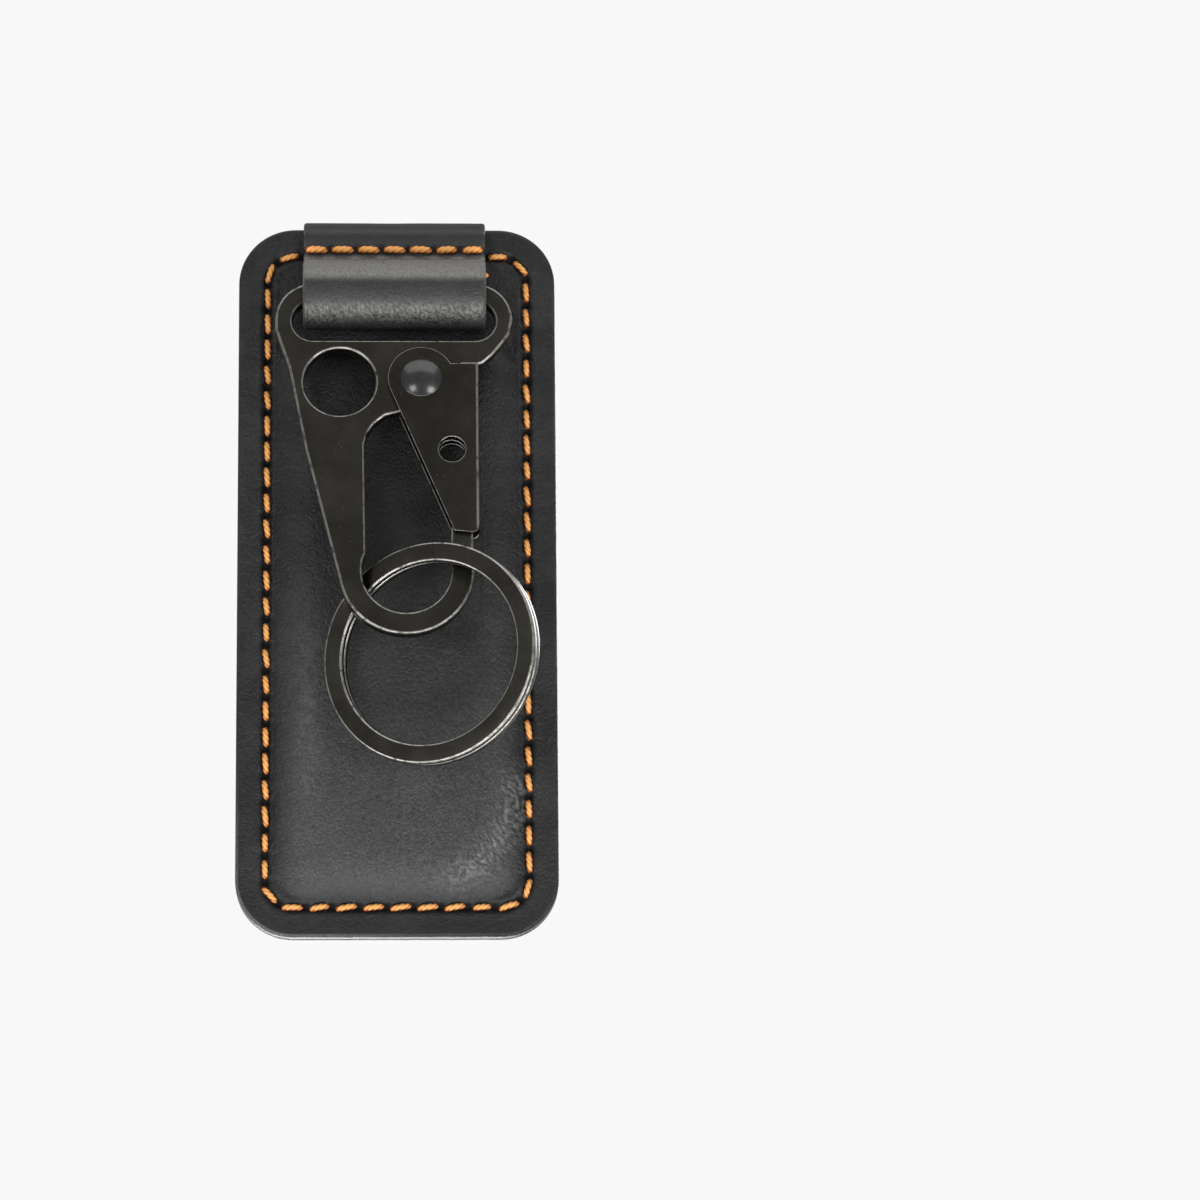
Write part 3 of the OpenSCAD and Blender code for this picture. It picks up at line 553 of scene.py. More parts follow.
# Back leather: a flat panel of the same hide, glued and sewn to the front one. A slit lets the clip's
# fold through, and the thin bobbin thread pulls a row of puckers up on each side of the seam.
back_rings = []
for inset in (half_w, 16 * mm, 9 * mm, 6 * mm, 3 * mm, 0.4 * mm, 0.02 * mm):
    at = ring_points(inset)
    on_tail = (np.abs(at[:, 0] - tail_middle) < tail_half_w) & (at[:, 1] > tail_low_z)
    back_rings.append(level_ring(at, seam_y + 0.01 * mm + tail_deep * on_tail))
for angle in edge_angles:
    at = ring_points(edge_r * (1 - math.cos(angle)))
    back_rings.append(level_ring(at, -edge_r + edge_r * math.sin(angle)))
back_shades, back_rubbed = [bare] * len(back_rings), [bare] * len(back_rings)
groove_deep, groove_w = 0.42 * mm, 0.62 * mm
pucker_high, pucker_out, pucker_w, pucker_long = 0.20 * mm, 1.05 * mm, 0.42 * mm, 1.05 * mm
rest_y, swell_most = -0.03 * mm, 0.03 * mm
for inset in surface_insets:
    at = ring_points(inset)
    pit, dark, along = seam_shape(inset, pit_width=0.5 * mm, pit_depth=0.35 * mm)
    groove = groove_deep * bell(inset - seam_inset, groove_w)
    pucker = pucker_high * bell(np.abs(inset - seam_inset) - pucker_out, pucker_w)
    pucker = pucker * bell(along - seam_pitch / 2, pucker_long)
    swell = 0.08 * mm * rough_noise(at, scale=90, seed=12.1) * min(1, inset / (6 * mm))
    back_rings.append(level_ring(at, rest_y - groove - pit + pucker + np.minimum(swell, swell_most)))
    # Painted shade in the holes and along the seam's groove
    back_shades.append(np.clip(dark + 0.75 * bell(inset - seam_inset, 0.4 * mm), 0, 1))
    # The puckers are painted lighter, partly a painted highlight, and the panel is lighter towards the bottom
    tufts = 0.75 + 0.5 * rough_noise(at, scale=900, seed=4.2)
    lighter_low = 0.10 * ramp(-at[:, 1], 35 * mm, 40 * mm)
    back_rubbed.append(np.clip(5 * pucker / mm * tufts + lighter_low, 0, 1))
back_leather = mesh_of_rings("back_leather", back_rings, shade=back_shades, rubbed=back_rubbed)

slit_half_w, slit_low, slit_high = 13.3 * mm, -1.9 * mm, 1.3 * mm
rivet_low, rivet_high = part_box("clip_rivets")
rivet_zs = (rivet_low.z + rivet_high.x, rivet_high.z - rivet_high.x)
shank_r = 1.65 * mm
slit = bmesh.new()
box_between(Vector((-slit_half_w, -3 * mm, slit_low)), Vector((slit_half_w, past, slit_high)), slit)
for z in rivet_zs:
    hole = Matrix.Translation((0, -1 * mm, z)) @ Matrix.Rotation(math.pi / 2, 4, "X")
    bmesh.ops.create_cone(
        slit, cap_ends=True, segments=40, radius1=shank_r, radius2=shank_r, depth=4 * mm, matrix=hole
    )
cut_away(back_leather, slit)
lining_finish = leather(
    "lining_leather", cells=3400.0, crease=0.10, depth=0.13 * mm, dark=(0.013, 0.013, 0.0138),
    light=(0.025, 0.025, 0.0262), rubbed=(0.24, 0.238, 0.234), roughness=0.42, specular=0.34
)
dressed(back_leather, lining_finish, "holder", "lining_leather", "back_panel")

# Strap: one strip of the same leather, its end skived thin and sewn between the panels. It turns over
# the top edge, runs down the front, round the bar of the hook and back up under itself.
strap_t = 1.8 * mm
skive_t = 0.8 * mm
strap_face_y = -6.38 * mm
strap_rear_y = -4.54 * mm
loop_r = 4.7 * mm
loop_y, loop_z = strap_rear_y - loop_r, -0.28 * mm
row_z = panel_high.z - seam_inset
bend_r = 0.9 * strap_t
bend_z = row_z - 0.6 * strap_t
run_y, run_z = loop_y - strap_face_y + bend_r, loop_z - bend_z
lean = math.asin((loop_r + bend_r) / math.hypot(run_y, run_z)) + math.atan2(-run_y, -run_z)
glue_t = 0.04 * mm
roll_in = skive_t / 2 + glue_t
roll_y, roll_z = seam_y - roll_in, panel_high.z + glue_t
roll_face_y = roll_y - leather_t / 2
roll_end_z = row_z + strap_t
tail_length, tail_step = 7.8 * mm, 0.5 * mm

# Its middle line: the tail, the roll over the top edge, the front, a soft bend, the loop, and back up
way = [(seam_y, panel_high.z - tail_length + tail_step * k, skive_t) for k in range(15)]
for a in np.radians(np.linspace(0, 90, 9)):
    way.append((roll_y + roll_in * math.cos(a), roll_z + roll_in * math.sin(a), skive_t))
for k in range(1, 17):
    a = math.radians(90 * k / 16)
    y = roll_face_y - (roll_face_y - strap_face_y) * math.sin(a)
    z = roll_end_z + (roll_z + roll_in - roll_end_z) * math.cos(a)
    way.append((y, z, skive_t + (strap_t - skive_t) * k / 16))
for k in range(1, 10):
    way.append((strap_face_y, roll_end_z + (bend_z - roll_end_z) * k / 10, strap_t))
for a in np.linspace(0, lean, 9):
    way.append((strap_face_y - bend_r + bend_r * math.cos(a), bend_z - bend_r * math.sin(a), strap_t))
for a in np.linspace(lean, -math.pi, 60):
    way.append((loop_y - loop_r * math.cos(a), loop_z + loop_r * math.sin(a), strap_t))
for k in range(1, 15):
    way.append((strap_rear_y, loop_z + (panel_high.z - seam_inset / 2 - loop_z) * k / 14, strap_t))
way = np.array(way)
for sweep in range(2):
    way[1:-1] = way[1:-1] / 2 + (way[:-2] + way[2:]) / 4
heading = np.gradient(way[:, :2], axis=0)
heading /= np.linalg.norm(heading, axis=1)[:, None]
strap_w = strap_high.x - strap_low.x
strap_stitch_count = round(strap_w / stitch_pitch)
strap_pitch = strap_w / strap_stitch_count
across = np.linspace(-0.5, 0.5, 113)


def hide_noise(xs, y, z, scale):
    """Smooth noise from -1 to 1 at the points xs of one cross-section of the strap."""
    return rough_noise([(x, z) for x in xs], scale, seed=y * scale)


# One ring of points round the strap at each step of the way
strap_rings, strap_shades, strap_rubbed = [], [], []
for (y, z, thick), (ty, tz) in zip(way, heading):
    half, eased = thick / 2, 0.42 * thick
    xs, outs = [], []
    for a in np.radians(np.linspace(-90, -10, 6)):
        xs.append(strap_low.x + eased + eased * math.sin(a))
        outs.append(half - eased + eased * math.cos(a))
    flat = list(tail_middle + across * (strap_w - 2 * eased))
    xs = xs + flat + [2 * tail_middle - x for x in reversed(xs)]
    outs = outs + [half] * len(flat) + outs[::-1]
    xs, outs = np.array(xs + xs[::-1]), np.array(outs + [-v for v in reversed(outs)])
    top = outs > 0
    above_row = z - row_z
    in_front = (y < strap_face_y + 0.4 * mm) * top
    on_front = (y < loop_y) * top
    hole = np.abs(((xs - strap_low.x) / strap_pitch + 0.5) % 1 - 0.5) * strap_pitch
    on_row = bell(above_row, 0.62 * mm) * in_front
    groove = 0.16 * mm * bell(above_row, 0.8 * mm) * in_front
    wave = hide_noise(xs, y, z, 160) * 0.05 * mm * top
    outs = outs - 0.55 * mm * on_row * bell(hole, 0.6 * mm) - groove - wave
    strap_rings.append(np.column_stack([xs, y + outs * tz, z - outs * ty]))

    # Painted shade: in the holes, on the roll over the top with a painted highlight line on it, and on the
    # bend above the loop
    top_highlight_line = 0.8 * bell(above_row - 2.9 * mm, 0.35 * mm)
    top_roll_shade = 0.85 * ramp(above_row, 1 * mm, 1 * mm) * top * (1 - top_highlight_line)
    bend_shade = 0.35 * bell(z + 1.3 * mm, 0.9 * mm) * on_front
    holes = 1.5 * on_row * bell(hole, 0.5 * mm)
    strap_shades.append(np.clip(np.maximum(holes, top_roll_shade + bend_shade), 0, 1))

    # Lighter: a painted highlight on the upper front, a speckled painted highlight round the loop with its
    # underside a little lighter, and both side edges
    turned_up_highlight = (z > 0.5 * mm) * in_front * ramp(-z, -(bend_z + 0.5 * mm), 1 * mm)
    turned_up_highlight = turned_up_highlight * ramp(z, 0.3 * mm, 0.8 * mm)
    sides = 0.5 * np.clip(1 - (strap_w / 2 - np.abs(xs - tail_middle)) / (0.5 * mm), 0, 1)
    specks = np.clip(0.5 + 1.3 * hide_noise(xs, y, z, 2900), 0.1, 1)
    shiny_highlight = specks * bell(z + 3.4 * mm, 0.85 * mm) * on_front + 0.06 * (z < -4 * mm) * top
    strap_rubbed.append(np.maximum(np.maximum(turned_up_highlight, sides), shiny_highlight))
first, last = (np.tile(strap_rings[end].mean(axis=0), (len(xs), 1)) for end in (0, -1))
bare = np.zeros(len(xs))
strap_rings = [first, *strap_rings, last]
strap_shades, strap_rubbed = [bare, *strap_shades, bare], [bare, *strap_rubbed, bare]
strap = mesh_of_rings("strap", strap_rings, shade=strap_shades, rubbed=strap_rubbed)
strap_finish = leather(
    "strap_leather", cells=3300.0, crease=0.08, depth=0.13 * mm, dark=(0.003, 0.003, 0.0034),
    light=(0.006, 0.006, 0.0064), rubbed=(0.106, 0.103, 0.095), roughness=0.29, specular=0.33
)
dressed(strap, strap_finish, "holder", "strap_leather", "strap_loop")


# Belt clip: spring steel strip, blued dark, folded over a former: a leg between the leathers, the
# fold through the slit, the tongue, a crease with a painted highlight along it, and the flared lip; fold and
# lip are rubbed by belts. Two rivets hold it.
def eased_copy(name, node, ease, merge=0.004 * mm, corner=30):
    """A copy of a CAD node: faces joined, corners eased round; the attribute edge is 1 along them."""
    work = bmesh.new()
    work.from_mesh(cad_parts[node].data)
    for layer in list(work.loops.layers.uv):
        work.loops.layers.uv.remove(layer)
    bmesh.ops.remove_doubles(work, verts=work.verts, dist=merge)
    bmesh.ops.dissolve_degenerate(work, edges=work.edges, dist=0.004 * mm)
    bmesh.ops.dissolve_limit(work, angle_limit=math.radians(0.6), verts=work.verts, edges=work.edges)
    sharp = [e for e in work.edges if len(e.link_faces) == 2 and e.calc_face_angle(0) > math.radians(corner)]
    edge = work.verts.layers.float.new("edge")
    near = bmesh.ops.bevel(
        work, geom=sharp, offset=ease, segments=4, profile=0.5, affect="EDGES", clamp_overlap=False
    )
    eased = set(near["faces"])
    for face in near["faces"]:
        for vert in face.verts:
            vert[edge] = float(eased.issuperset(vert.link_faces))
    bmesh.ops.recalc_face_normals(work, faces=work.faces)
    mesh = bpy.data.meshes.new(name)
    work.to_mesh(mesh)
    work.free()
    made = placed(name, mesh)
    mesh.shade_smooth()
    mesh.set_sharp_from_angle(angle=math.radians(50))
    weigh = made.modifiers.new("weigh", "WEIGHTED_NORMAL")
    weigh.keep_sharp, weigh.weight = True, 80
    settled(made)
    return made


# Wear of the metal: rubbed edges, fine scratches and small bright specks in the dark finish
wear_inputs = {"Rub": 0.5, "Scratch": 0.5, "Specks": 0.5}
wear, given = group("Metal wear", wear_inputs, ["Worn", "Gloss", "Height"])
where = place_on(wear)
patches = noise_of(wear, where, scale=900.0, detail=4.0, rough=0.6)
on_edge = window(wear, painted(wear, "edge"), low=0.05, high=0.7)
rubbed = times(wear, window(wear, patches, low=0.25, high=0.55), on_edge)
rubbed = times(wear, rubbed, given["Rub"])
specks = window(wear, noise_of(wear, where, scale=2600.0), low=0.70, high=0.77)
specks = times(wear, specks, given["Specks"])
long_and_slanted = {"Vector": where, "Rotation": (0.4, 0.9, 0.2), "Scale": (1.0, 1.0, 0.03)}
slanted = made_by(wear, "ShaderNodeMapping", long_and_slanted)
scratches = window(wear, noise_of(wear, slanted, scale=5200.0), low=0.66, high=0.74)
scratches = times(wear, scratches, given["Scratch"])
worn_and_highlit = maths(wear, "MAXIMUM", maths(wear, "MAXIMUM", rubbed, specks), scratches)
gloss = noise_of(wear, where, scale=130.0, detail=4.0, rough=0.6)
pits = noise_of(wear, where, scale=5000.0, detail=3.0, rough=0.6)
height = maths(wear, "SUBTRACT", pits, times(wear, scratches, 0.3))
add(wear, "NodeGroupOutput", {"Worn": worn_and_highlit, "Gloss": gloss, "Height": height})


def metal(name, dark, light, worn_and_highlit, roughness, spread, rub, scratch=0.2, specks=0.2, depth=0.004 * mm):
    """Metal finish: dark plating with lighter smudges, in its worn colour where rubbed or scratched and where
    a highlight is painted.
    """
    made, tree, shader = principled(name, dark, roughness, metallic=1.0)
    wears = {"Rub": rub, "Scratch": scratch, "Specks": specks}
    use = add(tree, "ShaderNodeGroup", wears, node_tree=wear).outputs
    colour = mixed(tree, window(tree, use["Gloss"], low=0.35, high=0.68), dark, light)
    colour = mixed(tree, use["Worn"], colour, worn_and_highlit)
    colour = mixed(tree, painted(tree, "rubbed"), colour, worn_and_highlit)
    rough = maths(tree, "MULTIPLY_ADD", use["Gloss"], spread, roughness - spread / 2)
    surface(tree, shader, colour, use["Height"], depth, rough)
    return made


clip_steel = metal(
    "blued_spring_steel", dark=(0.0072, 0.0074, 0.0084), light=(0.014, 0.0137, 0.0141),
    worn_and_highlit=(0.30, 0.298, 0.29), roughness=0.36, spread=0.16, rub=0.9, scratch=0.0, specks=0.10
)
belt_clip = eased_copy("belt_clip_steel", "belt_clip", 0.16 * mm)
fold_low_z = -1.5 * mm
crease_low_z, crease_high_z = -50.3 * mm, -49.6 * mm
lip_worn_z = clip_low.z + 3.6 * mm
outside_y = 0.3 * mm
clip_wear_and_highlight = belt_clip.data.attributes.new("rubbed", "FLOAT", "POINT").data
# Lighter on the outside: fold and lip worn by belts, and a painted highlight along the crease
for vert in belt_clip.data.vertices:
    on_fold = 0.17 * (vert.co.z > fold_low_z)
    crease_highlight = 0.22 * (crease_low_z < vert.co.z < crease_high_z)
    on_lip = 0.15 * (vert.co.z < lip_worn_z)
    clip_wear_and_highlight[vert.index].value = max(on_fold, crease_highlight, on_lip) * (vert.co.y > outside_y)
dressed(belt_clip, clip_steel, "holder", "blued_spring_steel", "belt_clip")
rivet_steel = metal(
    "black_rivet_steel", dark=(0.03, 0.03, 0.03), light=(0.05, 0.05, 0.05), worn_and_highlit=(0.4, 0.4, 0.4),
    roughness=0.35, spread=0.15, rub=0.6
)
clip_rivets = eased_copy("clip_rivet_heads", "clip_rivets", 0.1 * mm)
dressed(clip_rivets, rivet_steel, "holder", "black_rivet_steel", "clip_rivets")
washer_zinc = metal(
    "zinc_washer_steel", dark=(0.45, 0.46, 0.47), light=(0.58, 0.58, 0.58), worn_and_highlit=(0.75, 0.75, 0.75),
    roughness=0.4, spread=0.2, rub=0.3
)
washers = eased_copy("clip_washers", "clip_rivet_washers", 0.06 * mm)
dressed(washers, washer_zinc, "holder", "zinc_washer_steel", "clip_rivet_washers")

# Hook: a stamped steel plate with a long slot for the strap, a round hole, and an open eye at its foot.
# Its dark gunmetal plating is rubbed thin along the stamped edges.
plated = dict(roughness=0.32, spread=0.14, rub=0.95, scratch=0.04, specks=0.35, depth=0.006 * mm)
hook_finish = metal(
    "gunmetal_plate", dark=(0.021, 0.0196, 0.0168), light=(0.029, 0.027, 0.0232), worn_and_highlit=(0.15, 0.146, 0.136),
    **plated
)
hook = eased_copy("hook_plate_steel", "hook_plate", 0.44 * mm)
dressed(hook, hook_finish, "hook", "gunmetal_plate", "hook_plate")

# Gate: thin steel sheet, plated like the hook and folded round its plate, with a small hole of its own.
# It turns on the rivet and closes the eye. The front bend at its right side carries a painted highlight along
# its rubbed edge.
gate_finish = metal(
    "gunmetal_sheet", dark=(0.017, 0.016, 0.0138), light=(0.024, 0.022, 0.019), worn_and_highlit=(0.17, 0.165, 0.155),
    **plated
)
gate = eased_copy("gate_sheet", "gate", 0.14 * mm, merge=0.06 * mm)
edge = gate.data.attributes["edge"].data
bend_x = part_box("gate")[1].x - 0.5 * mm
plate_facing = Vector((0, -0.99317, 0.11667))
gate_front = max(vert.co.dot(plate_facing) for vert in gate.data.vertices)
for vert in gate.data.vertices:
    # A painted highlight along the front bend at the right side
    gate_bend_highlight = vert.co.x > bend_x and gate_front - vert.co.dot(plate_facing) < 0.32 * mm
    edge[vert.index].value = max(edge[vert.index].value, 0.75 * gate_bend_highlight)
dressed(gate, gate_finish, "latch", "gunmetal_sheet", "gate")

# Gate rivet: a steel pin through the plate and the gate's two cheeks, the gate's pivot. Its domed heads
# are set cold and polished.
pin_finish = metal(
    "polished_rivet_steel", dark=(0.034, 0.034, 0.034), light=(0.048, 0.048, 0.048), worn_and_highlit=(0.4, 0.4, 0.4),
    roughness=0.22, spread=0.06, rub=0.3, scratch=0.1, specks=0.1, depth=0.002 * mm
)
pin = eased_copy("gate_pin", "gate_rivet", 0.08 * mm)
dressed(pin, pin_finish, "hook", "polished_rivet_steel", "gate_rivet")

# Gate spring: hard-drawn wire, a turn and an eighth behind the gate's small hole, one leg under the
# plate's edge and one on the gate's back.
wire = metal(
    "spring_wire", dark=(0.05, 0.05, 0.048), light=(0.08, 0.08, 0.077), worn_and_highlit=(0.3, 0.3, 0.3),
    roughness=0.3, spread=0.1, rub=0.0, scratch=0.15, specks=0.1, depth=0.002 * mm
)
spring = eased_copy("spring_coil", "gate_spring", 0.02 * mm, corner=75)
dressed(spring, wire, "latch", "spring_wire", "gate_spring")

# Split ring: flat wire with round corners wound twice round and stepped once, in the same dark plating,
# rubbed bright along its corners. It lies in the plane and at the centre of the CAD ring.
ring_points_cad = np.array([v.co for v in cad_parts["key_ring"].data.vertices])
ring_low, ring_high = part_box("key_ring")
ring_middle = (ring_low + ring_high) / 2
ring_facing = Vector(np.linalg.eigh(np.cov(ring_points_cad.T))[1][:, 0])
ring_facing *= -math.copysign(1, ring_facing.y)
ring_right = Vector((0, 0, 1)).cross(ring_facing).normalized()
ring_up = ring_facing.cross(ring_right)
ring_r, wire_w, wire_t, wire_ease, turn_gap = 17.4 * mm, 3 * mm, 1.25 * mm, 0.36 * mm, 0.06 * mm
front_end, step_span, end_gap = 134, 15, 2
wire_steps, end_ease, end_shrink = 480, 0.4, 0.86
section, section_edge = [], []
for start, out, up in ((0, 1, 1), (90, -1, 1), (180, -1, -1), (270, 1, -1)):
    for a in np.linspace(start, start + 90, 7):
        x = out * (wire_w / 2 - wire_ease) + wire_ease * math.cos(math.radians(a))
        y = up * (wire_t / 2 - wire_ease) + wire_ease * math.sin(math.radians(a))
        section.append((x, y))
        section_edge.append(float(start < a < start + 90))
turn_height = (wire_t + turn_gap) / 2
whole = 720 - step_span - end_gap
angles = [0, 0, *np.linspace(end_ease, whole - end_ease, wire_steps), whole, whole]
ring_rings, ring_edges = [], []
for step, turned in enumerate(angles):
    angle = math.radians(front_end - turned)
    share = min(max((turned - (360 - step_span)) / (step_span - end_gap), 0), 1)
    height = turn_height * (1 - 2 * share * share * (3 - 2 * share))
    outward = ring_right * math.cos(angle) + ring_up * math.sin(angle)
    centre = ring_middle + outward * (ring_r - wire_w / 2) + ring_facing * height
    size = 1 if 0 < turned < whole else end_shrink * (0 < step < len(angles) - 1)
    ring_rings.append([centre + (outward * x + ring_facing * y) * size for x, y in section])
    along_wire = end_ease < turned < whole - end_ease
    ring_edges.append(np.array(section_edge) if along_wire else np.ones(len(section)))
ring = mesh_of_rings("split_ring", ring_rings, edge=ring_edges)
ring.data.set_sharp_from_angle(angle=math.radians(50))
ring_finish = metal(
    "gunmetal_ring", dark=(0.021, 0.0194, 0.0166), light=(0.033, 0.0306, 0.0264), worn_and_highlit=(0.22, 0.213, 0.198),
    roughness=0.30, spread=0.12, rub=0.9, scratch=0.06, specks=0.3
)
dressed(ring, ring_finish, "ring", "gunmetal_ring", "key_ring")


# Stitches: thick orange thread, three plies twisted, sewn through all the layers; a thin dark bobbin
# thread lies on the back. Each stitch bows up a little and dives into its holes at both ends.
def stitch_tree():
    """Geometry Nodes: spreads twisted stitches evenly along a path drawn in x and z."""
    tree = bpy.data.node_groups.new("Stitches on a path", "GeometryNodeTree")
    node, sums = partial(made_by, tree), partial(maths, tree)
    sizes = ("Length", "Width", "Rise", "Sink", "Outward", "Twist", "Lean", "Scatter")
    kinds = [("Path", "Geometry"), ("Count", "Int"), *((size, "Float") for size in sizes)]
    for label, kind in kinds + [("Seed", "Int"), ("Thread", "Material")]:
        tree.interface.new_socket(label, in_out="INPUT", socket_type="NodeSocket" + kind)
    tree.interface.new_socket("Stitches", in_out="OUTPUT", socket_type="NodeSocketGeometry")
    given = tree.nodes.new("NodeGroupInput").outputs

    def stored(geometry, label, value):
        """The geometry with a number kept on each point."""
        inputs = {"Geometry": geometry, "Name": label, "Value": value}
        return node("GeometryNodeStoreNamedAttribute", inputs, data_type="FLOAT", domain="POINT")

    def chance(low, high, seed):
        """A random number for each stitch."""
        inputs = {2: low, 3: high, "Seed": seed}
        return add(tree, "FunctionNodeRandomValue", inputs, data_type="FLOAT").outputs[1]

    # One thread: a bowed line, thinner towards its ends
    half = times(tree, given["Length"], 0.5)
    start = node("ShaderNodeCombineXYZ", {"X": times(tree, half, -1.0)})
    finish = node("ShaderNodeCombineXYZ", {"X": half})
    line = node("GeometryNodeCurvePrimitiveLine", {"Start": start, "End": finish})
    line = node("GeometryNodeResampleCurve", {"Curve": line, "Count": 15})
    along = add(tree, "GeometryNodeSplineParameter").outputs["Factor"]
    from_middle = sums("ABSOLUTE", sums("MULTIPLY_ADD", along, 2.0, -1.0))
    bow = sums("SUBTRACT", 1.0, sums("POWER", from_middle, 3.0))
    lift = sums("SUBTRACT", times(tree, bow, given["Rise"]), given["Sink"])
    lift = times(tree, lift, given["Outward"])
    offset = node("ShaderNodeCombineXYZ", {"Y": lift})
    line = node("GeometryNodeSetPosition", {"Geometry": line, "Offset": offset})
    thinner = times(tree, sums("POWER", from_middle, 4.0), 0.8)
    fat = sums("SQRT", sums("SUBTRACT", 1.0, thinner))
    fat = times(tree, times(tree, fat, given["Width"]), 0.5)
    turned = times(tree, along, given["Twist"])
    line = node("GeometryNodeSetCurveTilt", {"Curve": line, "Tilt": turned})
    line = stored(line, "along", along)

    # Its section: three plies
    plies, sides = 3, 18
    section = node("GeometryNodeCurvePrimitiveCircle", {"Resolution": sides, "Radius": 1.0})
    index = node("GeometryNodeInputIndex")
    ply = sums("COSINE", times(tree, index, plies * 2 * math.pi / sides))
    swell = sums("MULTIPLY_ADD", ply, 0.06, 0.94)
    place = node("GeometryNodeInputPosition")
    place = node("ShaderNodeVectorMath", {0: place, "Scale": swell}, operation="SCALE")
    section = node("GeometryNodeSetPosition", {"Geometry": section, "Position": place})
    section = stored(section, "ply", ply)
    swept = {"Curve": line, "Profile Curve": section, "Scale": fat, "Fill Caps": True}
    body = node("GeometryNodeCurveToMesh", swept)
    # How far each point faces out, kept for the thread's painted highlight
    normal = add(tree, "ShaderNodeSeparateXYZ", {0: node("GeometryNodeInputNormal")}).outputs["Y"]
    body = stored(body, "crest", times(tree, normal, given["Outward"]))

    # The row: one thread at the middle of each step of the path, turned along it
    path = node("GeometryNodeMeshToCurve", {"Mesh": given["Path"]})
    half_step = sums("DIVIDE", 0.5, given["Count"])
    kept = {"Curve": path, "Start": half_step, "End": sums("SUBTRACT", 1.0, half_step)}
    path = node("GeometryNodeTrimCurve", kept, mode="FACTOR")
    steps = {"Curve": path, "Count": given["Count"]}
    spots = add(tree, "GeometryNodeCurveToPoints", steps, mode="COUNT").outputs
    along_path = {"Vector": spots["Tangent"]}
    turn = node("FunctionNodeAlignRotationToVector", along_path, axis="X", pivot_axis="Y")
    tip = chance(times(tree, given["Scatter"], -1.0), given["Scatter"], given["Seed"])
    angle = sums("ADD", given["Lean"], tip)
    tip = node("FunctionNodeAxisAngleToRotation", {"Axis": (0.0, 1.0, 0.0), "Angle": angle})
    turned = {"Rotation": turn, "Rotate By": tip}
    turn = node("FunctionNodeRotateRotation", turned, rotation_space="LOCAL")
    longer = chance(0.9, 1.08, sums("ADD", given["Seed"], 7.0))
    size = node("ShaderNodeCombineXYZ", {"X": longer, "Y": 1.0, "Z": 1.0})
    copies = {"Points": spots["Points"], "Instance": body, "Rotation": turn, "Scale": size}
    row = node("GeometryNodeInstanceOnPoints", copies)
    for kind in ("GeometryNodeRealizeInstances", "GeometryNodeSetShadeSmooth"):
        row = node(kind, {"Geometry": row})
    row = node("GeometryNodeSetMaterial", {"Geometry": row, "Material": given["Thread"]})
    add(tree, "NodeGroupOutput", {"Stitches": row})
    return tree


def thread(name, shaded_colour, lit_colour, roughness=0.5):
    """Twisted thread: painted highlight where it faces out and on each ply's back, painted shade between the
    plies and where it enters its holes.
    """
    made, tree, shader = principled(name, lit_colour, roughness, specular=0.25)
    fibres = noise_of(tree, place_on(tree), scale=7000.0, detail=3.0, rough=0.6)
    lit = maths(tree, "ADD", painted(tree, "crest"), times(tree, painted(tree, "ply"), 0.22))
    lit = maths(tree, "ADD", lit, times(tree, fibres, 0.6))
    colour = mixed(tree, window(tree, lit, low=0.45, high=1.3), shaded_colour, lit_colour)
    away = maths(tree, "ABSOLUTE", maths(tree, "SUBTRACT", painted(tree, "along"), 0.5))
    colour = mixed(tree, window(tree, away, low=0.33, high=0.5), colour, tuple(0.12 * c for c in shaded_colour))
    surface(tree, shader, colour, fibres, depth=0.03 * mm)
    return made


stitches = stitch_tree()


def stitch_row(name, points, sizes, material, body):
    """One row of stitches along the points, made a plain mesh."""
    made = meshed(name, points, [(i, i + 1) for i in range(len(points) - 1)], [])
    tool = made.modifiers.new("stitches", "NODES")
    tool.node_group = stitches
    values = {**sizes, "Thread": material}
    for item in stitches.interface.items_tree:
        if item.in_out == "INPUT" and item.name in values:
            tool[item.identifier] = values[item.name]
    settled(made)
    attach(made, body)
    return made


def across_strap(y, z, shift=0.0):
    """The two ends of a row across the strap, moved sideways by shift."""
    return [(x + shift, y, z) for x in (strap_low.x, strap_high.x)]


orange = thread("orange_thread", shaded_colour=(0.27, 0.060, 0.006), lit_colour=(0.76, 0.345, 0.092))
# The seam's thread is the strap's orange thread in a darker copy, painted shade
shaded_seam_orange = thread("shaded_orange_seam_thread", shaded_colour=(0.18, 0.041, 0.005), lit_colour=(0.50, 0.240, 0.068))
dark = thread("dark_thread", shaded_colour=(0.008, 0.008, 0.009), lit_colour=(0.03, 0.03, 0.032), roughness=0.6)
front_seam_y = flat_y + 0.15 * mm
back_seam_y = -0.5 * mm
peep_y = -0.42 * mm
strap_row_y = strap_face_y - strap_t / 2 + 0.1 * mm
tack_y, tack_back_y = strap_rear_y - strap_t / 2, 0.1 * mm
tack_z = panel_high.z - 1.8 * seam_inset
round_seam = [p for p, s in zip(seam_line, seam_at) if -0.2 * mm < s < seam_length + 0.2 * mm]
seam_sizes = {
    "Count": seam_stitch_count, "Length": 3.0 * mm, "Width": 1.0 * mm, "Rise": 0.85 * mm, "Sink": 0.45 * mm,
    "Outward": -1.0, "Twist": -9.0, "Lean": -0.12, "Scatter": 0.08, "Seed": 3
}
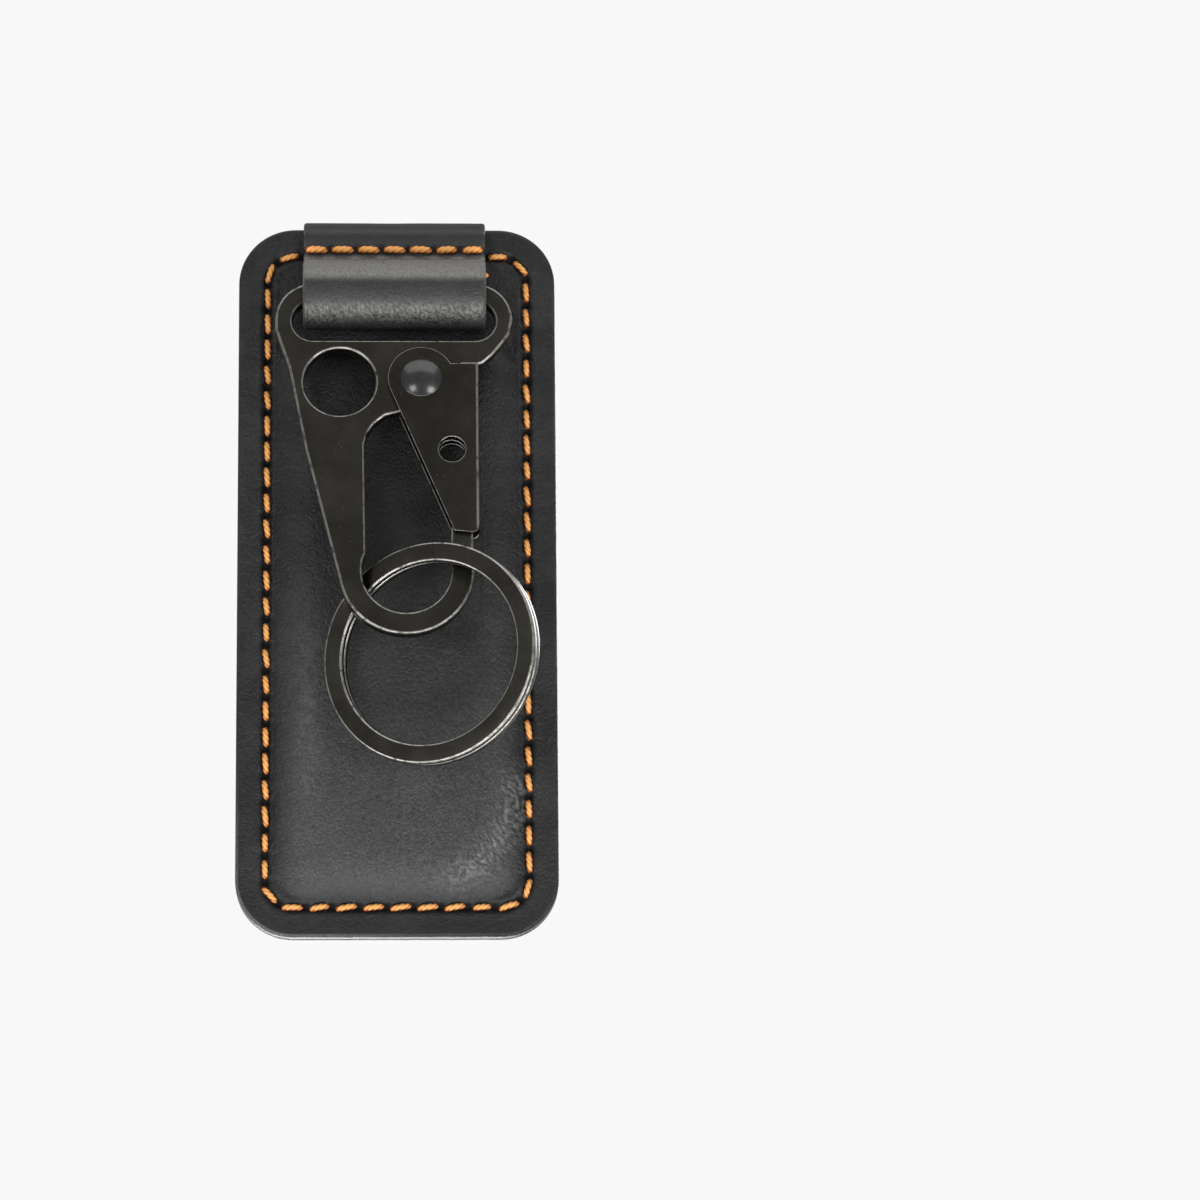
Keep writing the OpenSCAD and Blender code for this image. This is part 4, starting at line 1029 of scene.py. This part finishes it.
strap_sizes = {
    **seam_sizes, "Count": strap_stitch_count, "Length": 3.2 * mm, "Width": 1.18 * mm, "Lean": -0.03
}
tack_sizes = {**strap_sizes, "Width": 1.0 * mm, "Rise": 0.6 * mm, "Sink": 0.25 * mm}
tack_back_sizes = {
    **tack_sizes, "Length": 1.2 * mm, "Width": 0.45 * mm, "Rise": 0.4 * mm, "Outward": 1.0, "Scatter": 0.7,
    "Seed": 5
}
bobbin_sizes = {
    **seam_sizes, "Length": 3.6 * mm, "Width": 0.62 * mm, "Rise": 0.4 * mm, "Sink": 0.25 * mm, "Outward": 1.0,
    "Seed": 11
}
bobbin_top_sizes = {**bobbin_sizes, "Count": strap_stitch_count}
peep_sizes = {
    **bobbin_top_sizes, "Length": 0.9 * mm, "Width": 0.45 * mm, "Rise": 0.5 * mm, "Sink": 0.1 * mm,
    "Scatter": 0.9, "Seed": 23
}

# Orange needle thread on the front, and the tack row through the strap with its short ends behind
seam_front = [(x, front_seam_y, z) for x, z in round_seam]
needle_row = stitch_row("seam_stitches", seam_front, seam_sizes, shaded_seam_orange, "holder")
stitch_row("strap_stitches", across_strap(strap_row_y, row_z), strap_sizes, orange, "holder")
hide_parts("needle_thread")
tack_ends = across_strap(tack_y, tack_z, stitch_pitch / 4)
tack_row = stitch_row("tack_stitches", tack_ends, tack_sizes, orange, "holder")
tack_back_ends = across_strap(tack_back_y, tack_z, stitch_pitch / 4)
stitch_row("tack_stitches_behind", tack_back_ends, tack_back_sizes, orange, "holder")
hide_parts("tack_thread")

# Dark bobbin thread behind; over the strap the needle thread peeps out between its stitches
seam_back = [(x, back_seam_y, z) for x, z in round_seam]
bobbin_row = stitch_row("seam_stitches_behind", seam_back, bobbin_sizes, dark, "holder")
peep_ends = across_strap(peep_y, row_z + 0.1 * mm, stitch_pitch / 2)
stitch_row("needle_thread_peeping", peep_ends, peep_sizes, orange, "holder")
top_ends = across_strap(back_seam_y, row_z)
stitch_row("strap_stitches_behind", top_ends, bobbin_top_sizes, dark, "holder")
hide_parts("bobbin_thread")
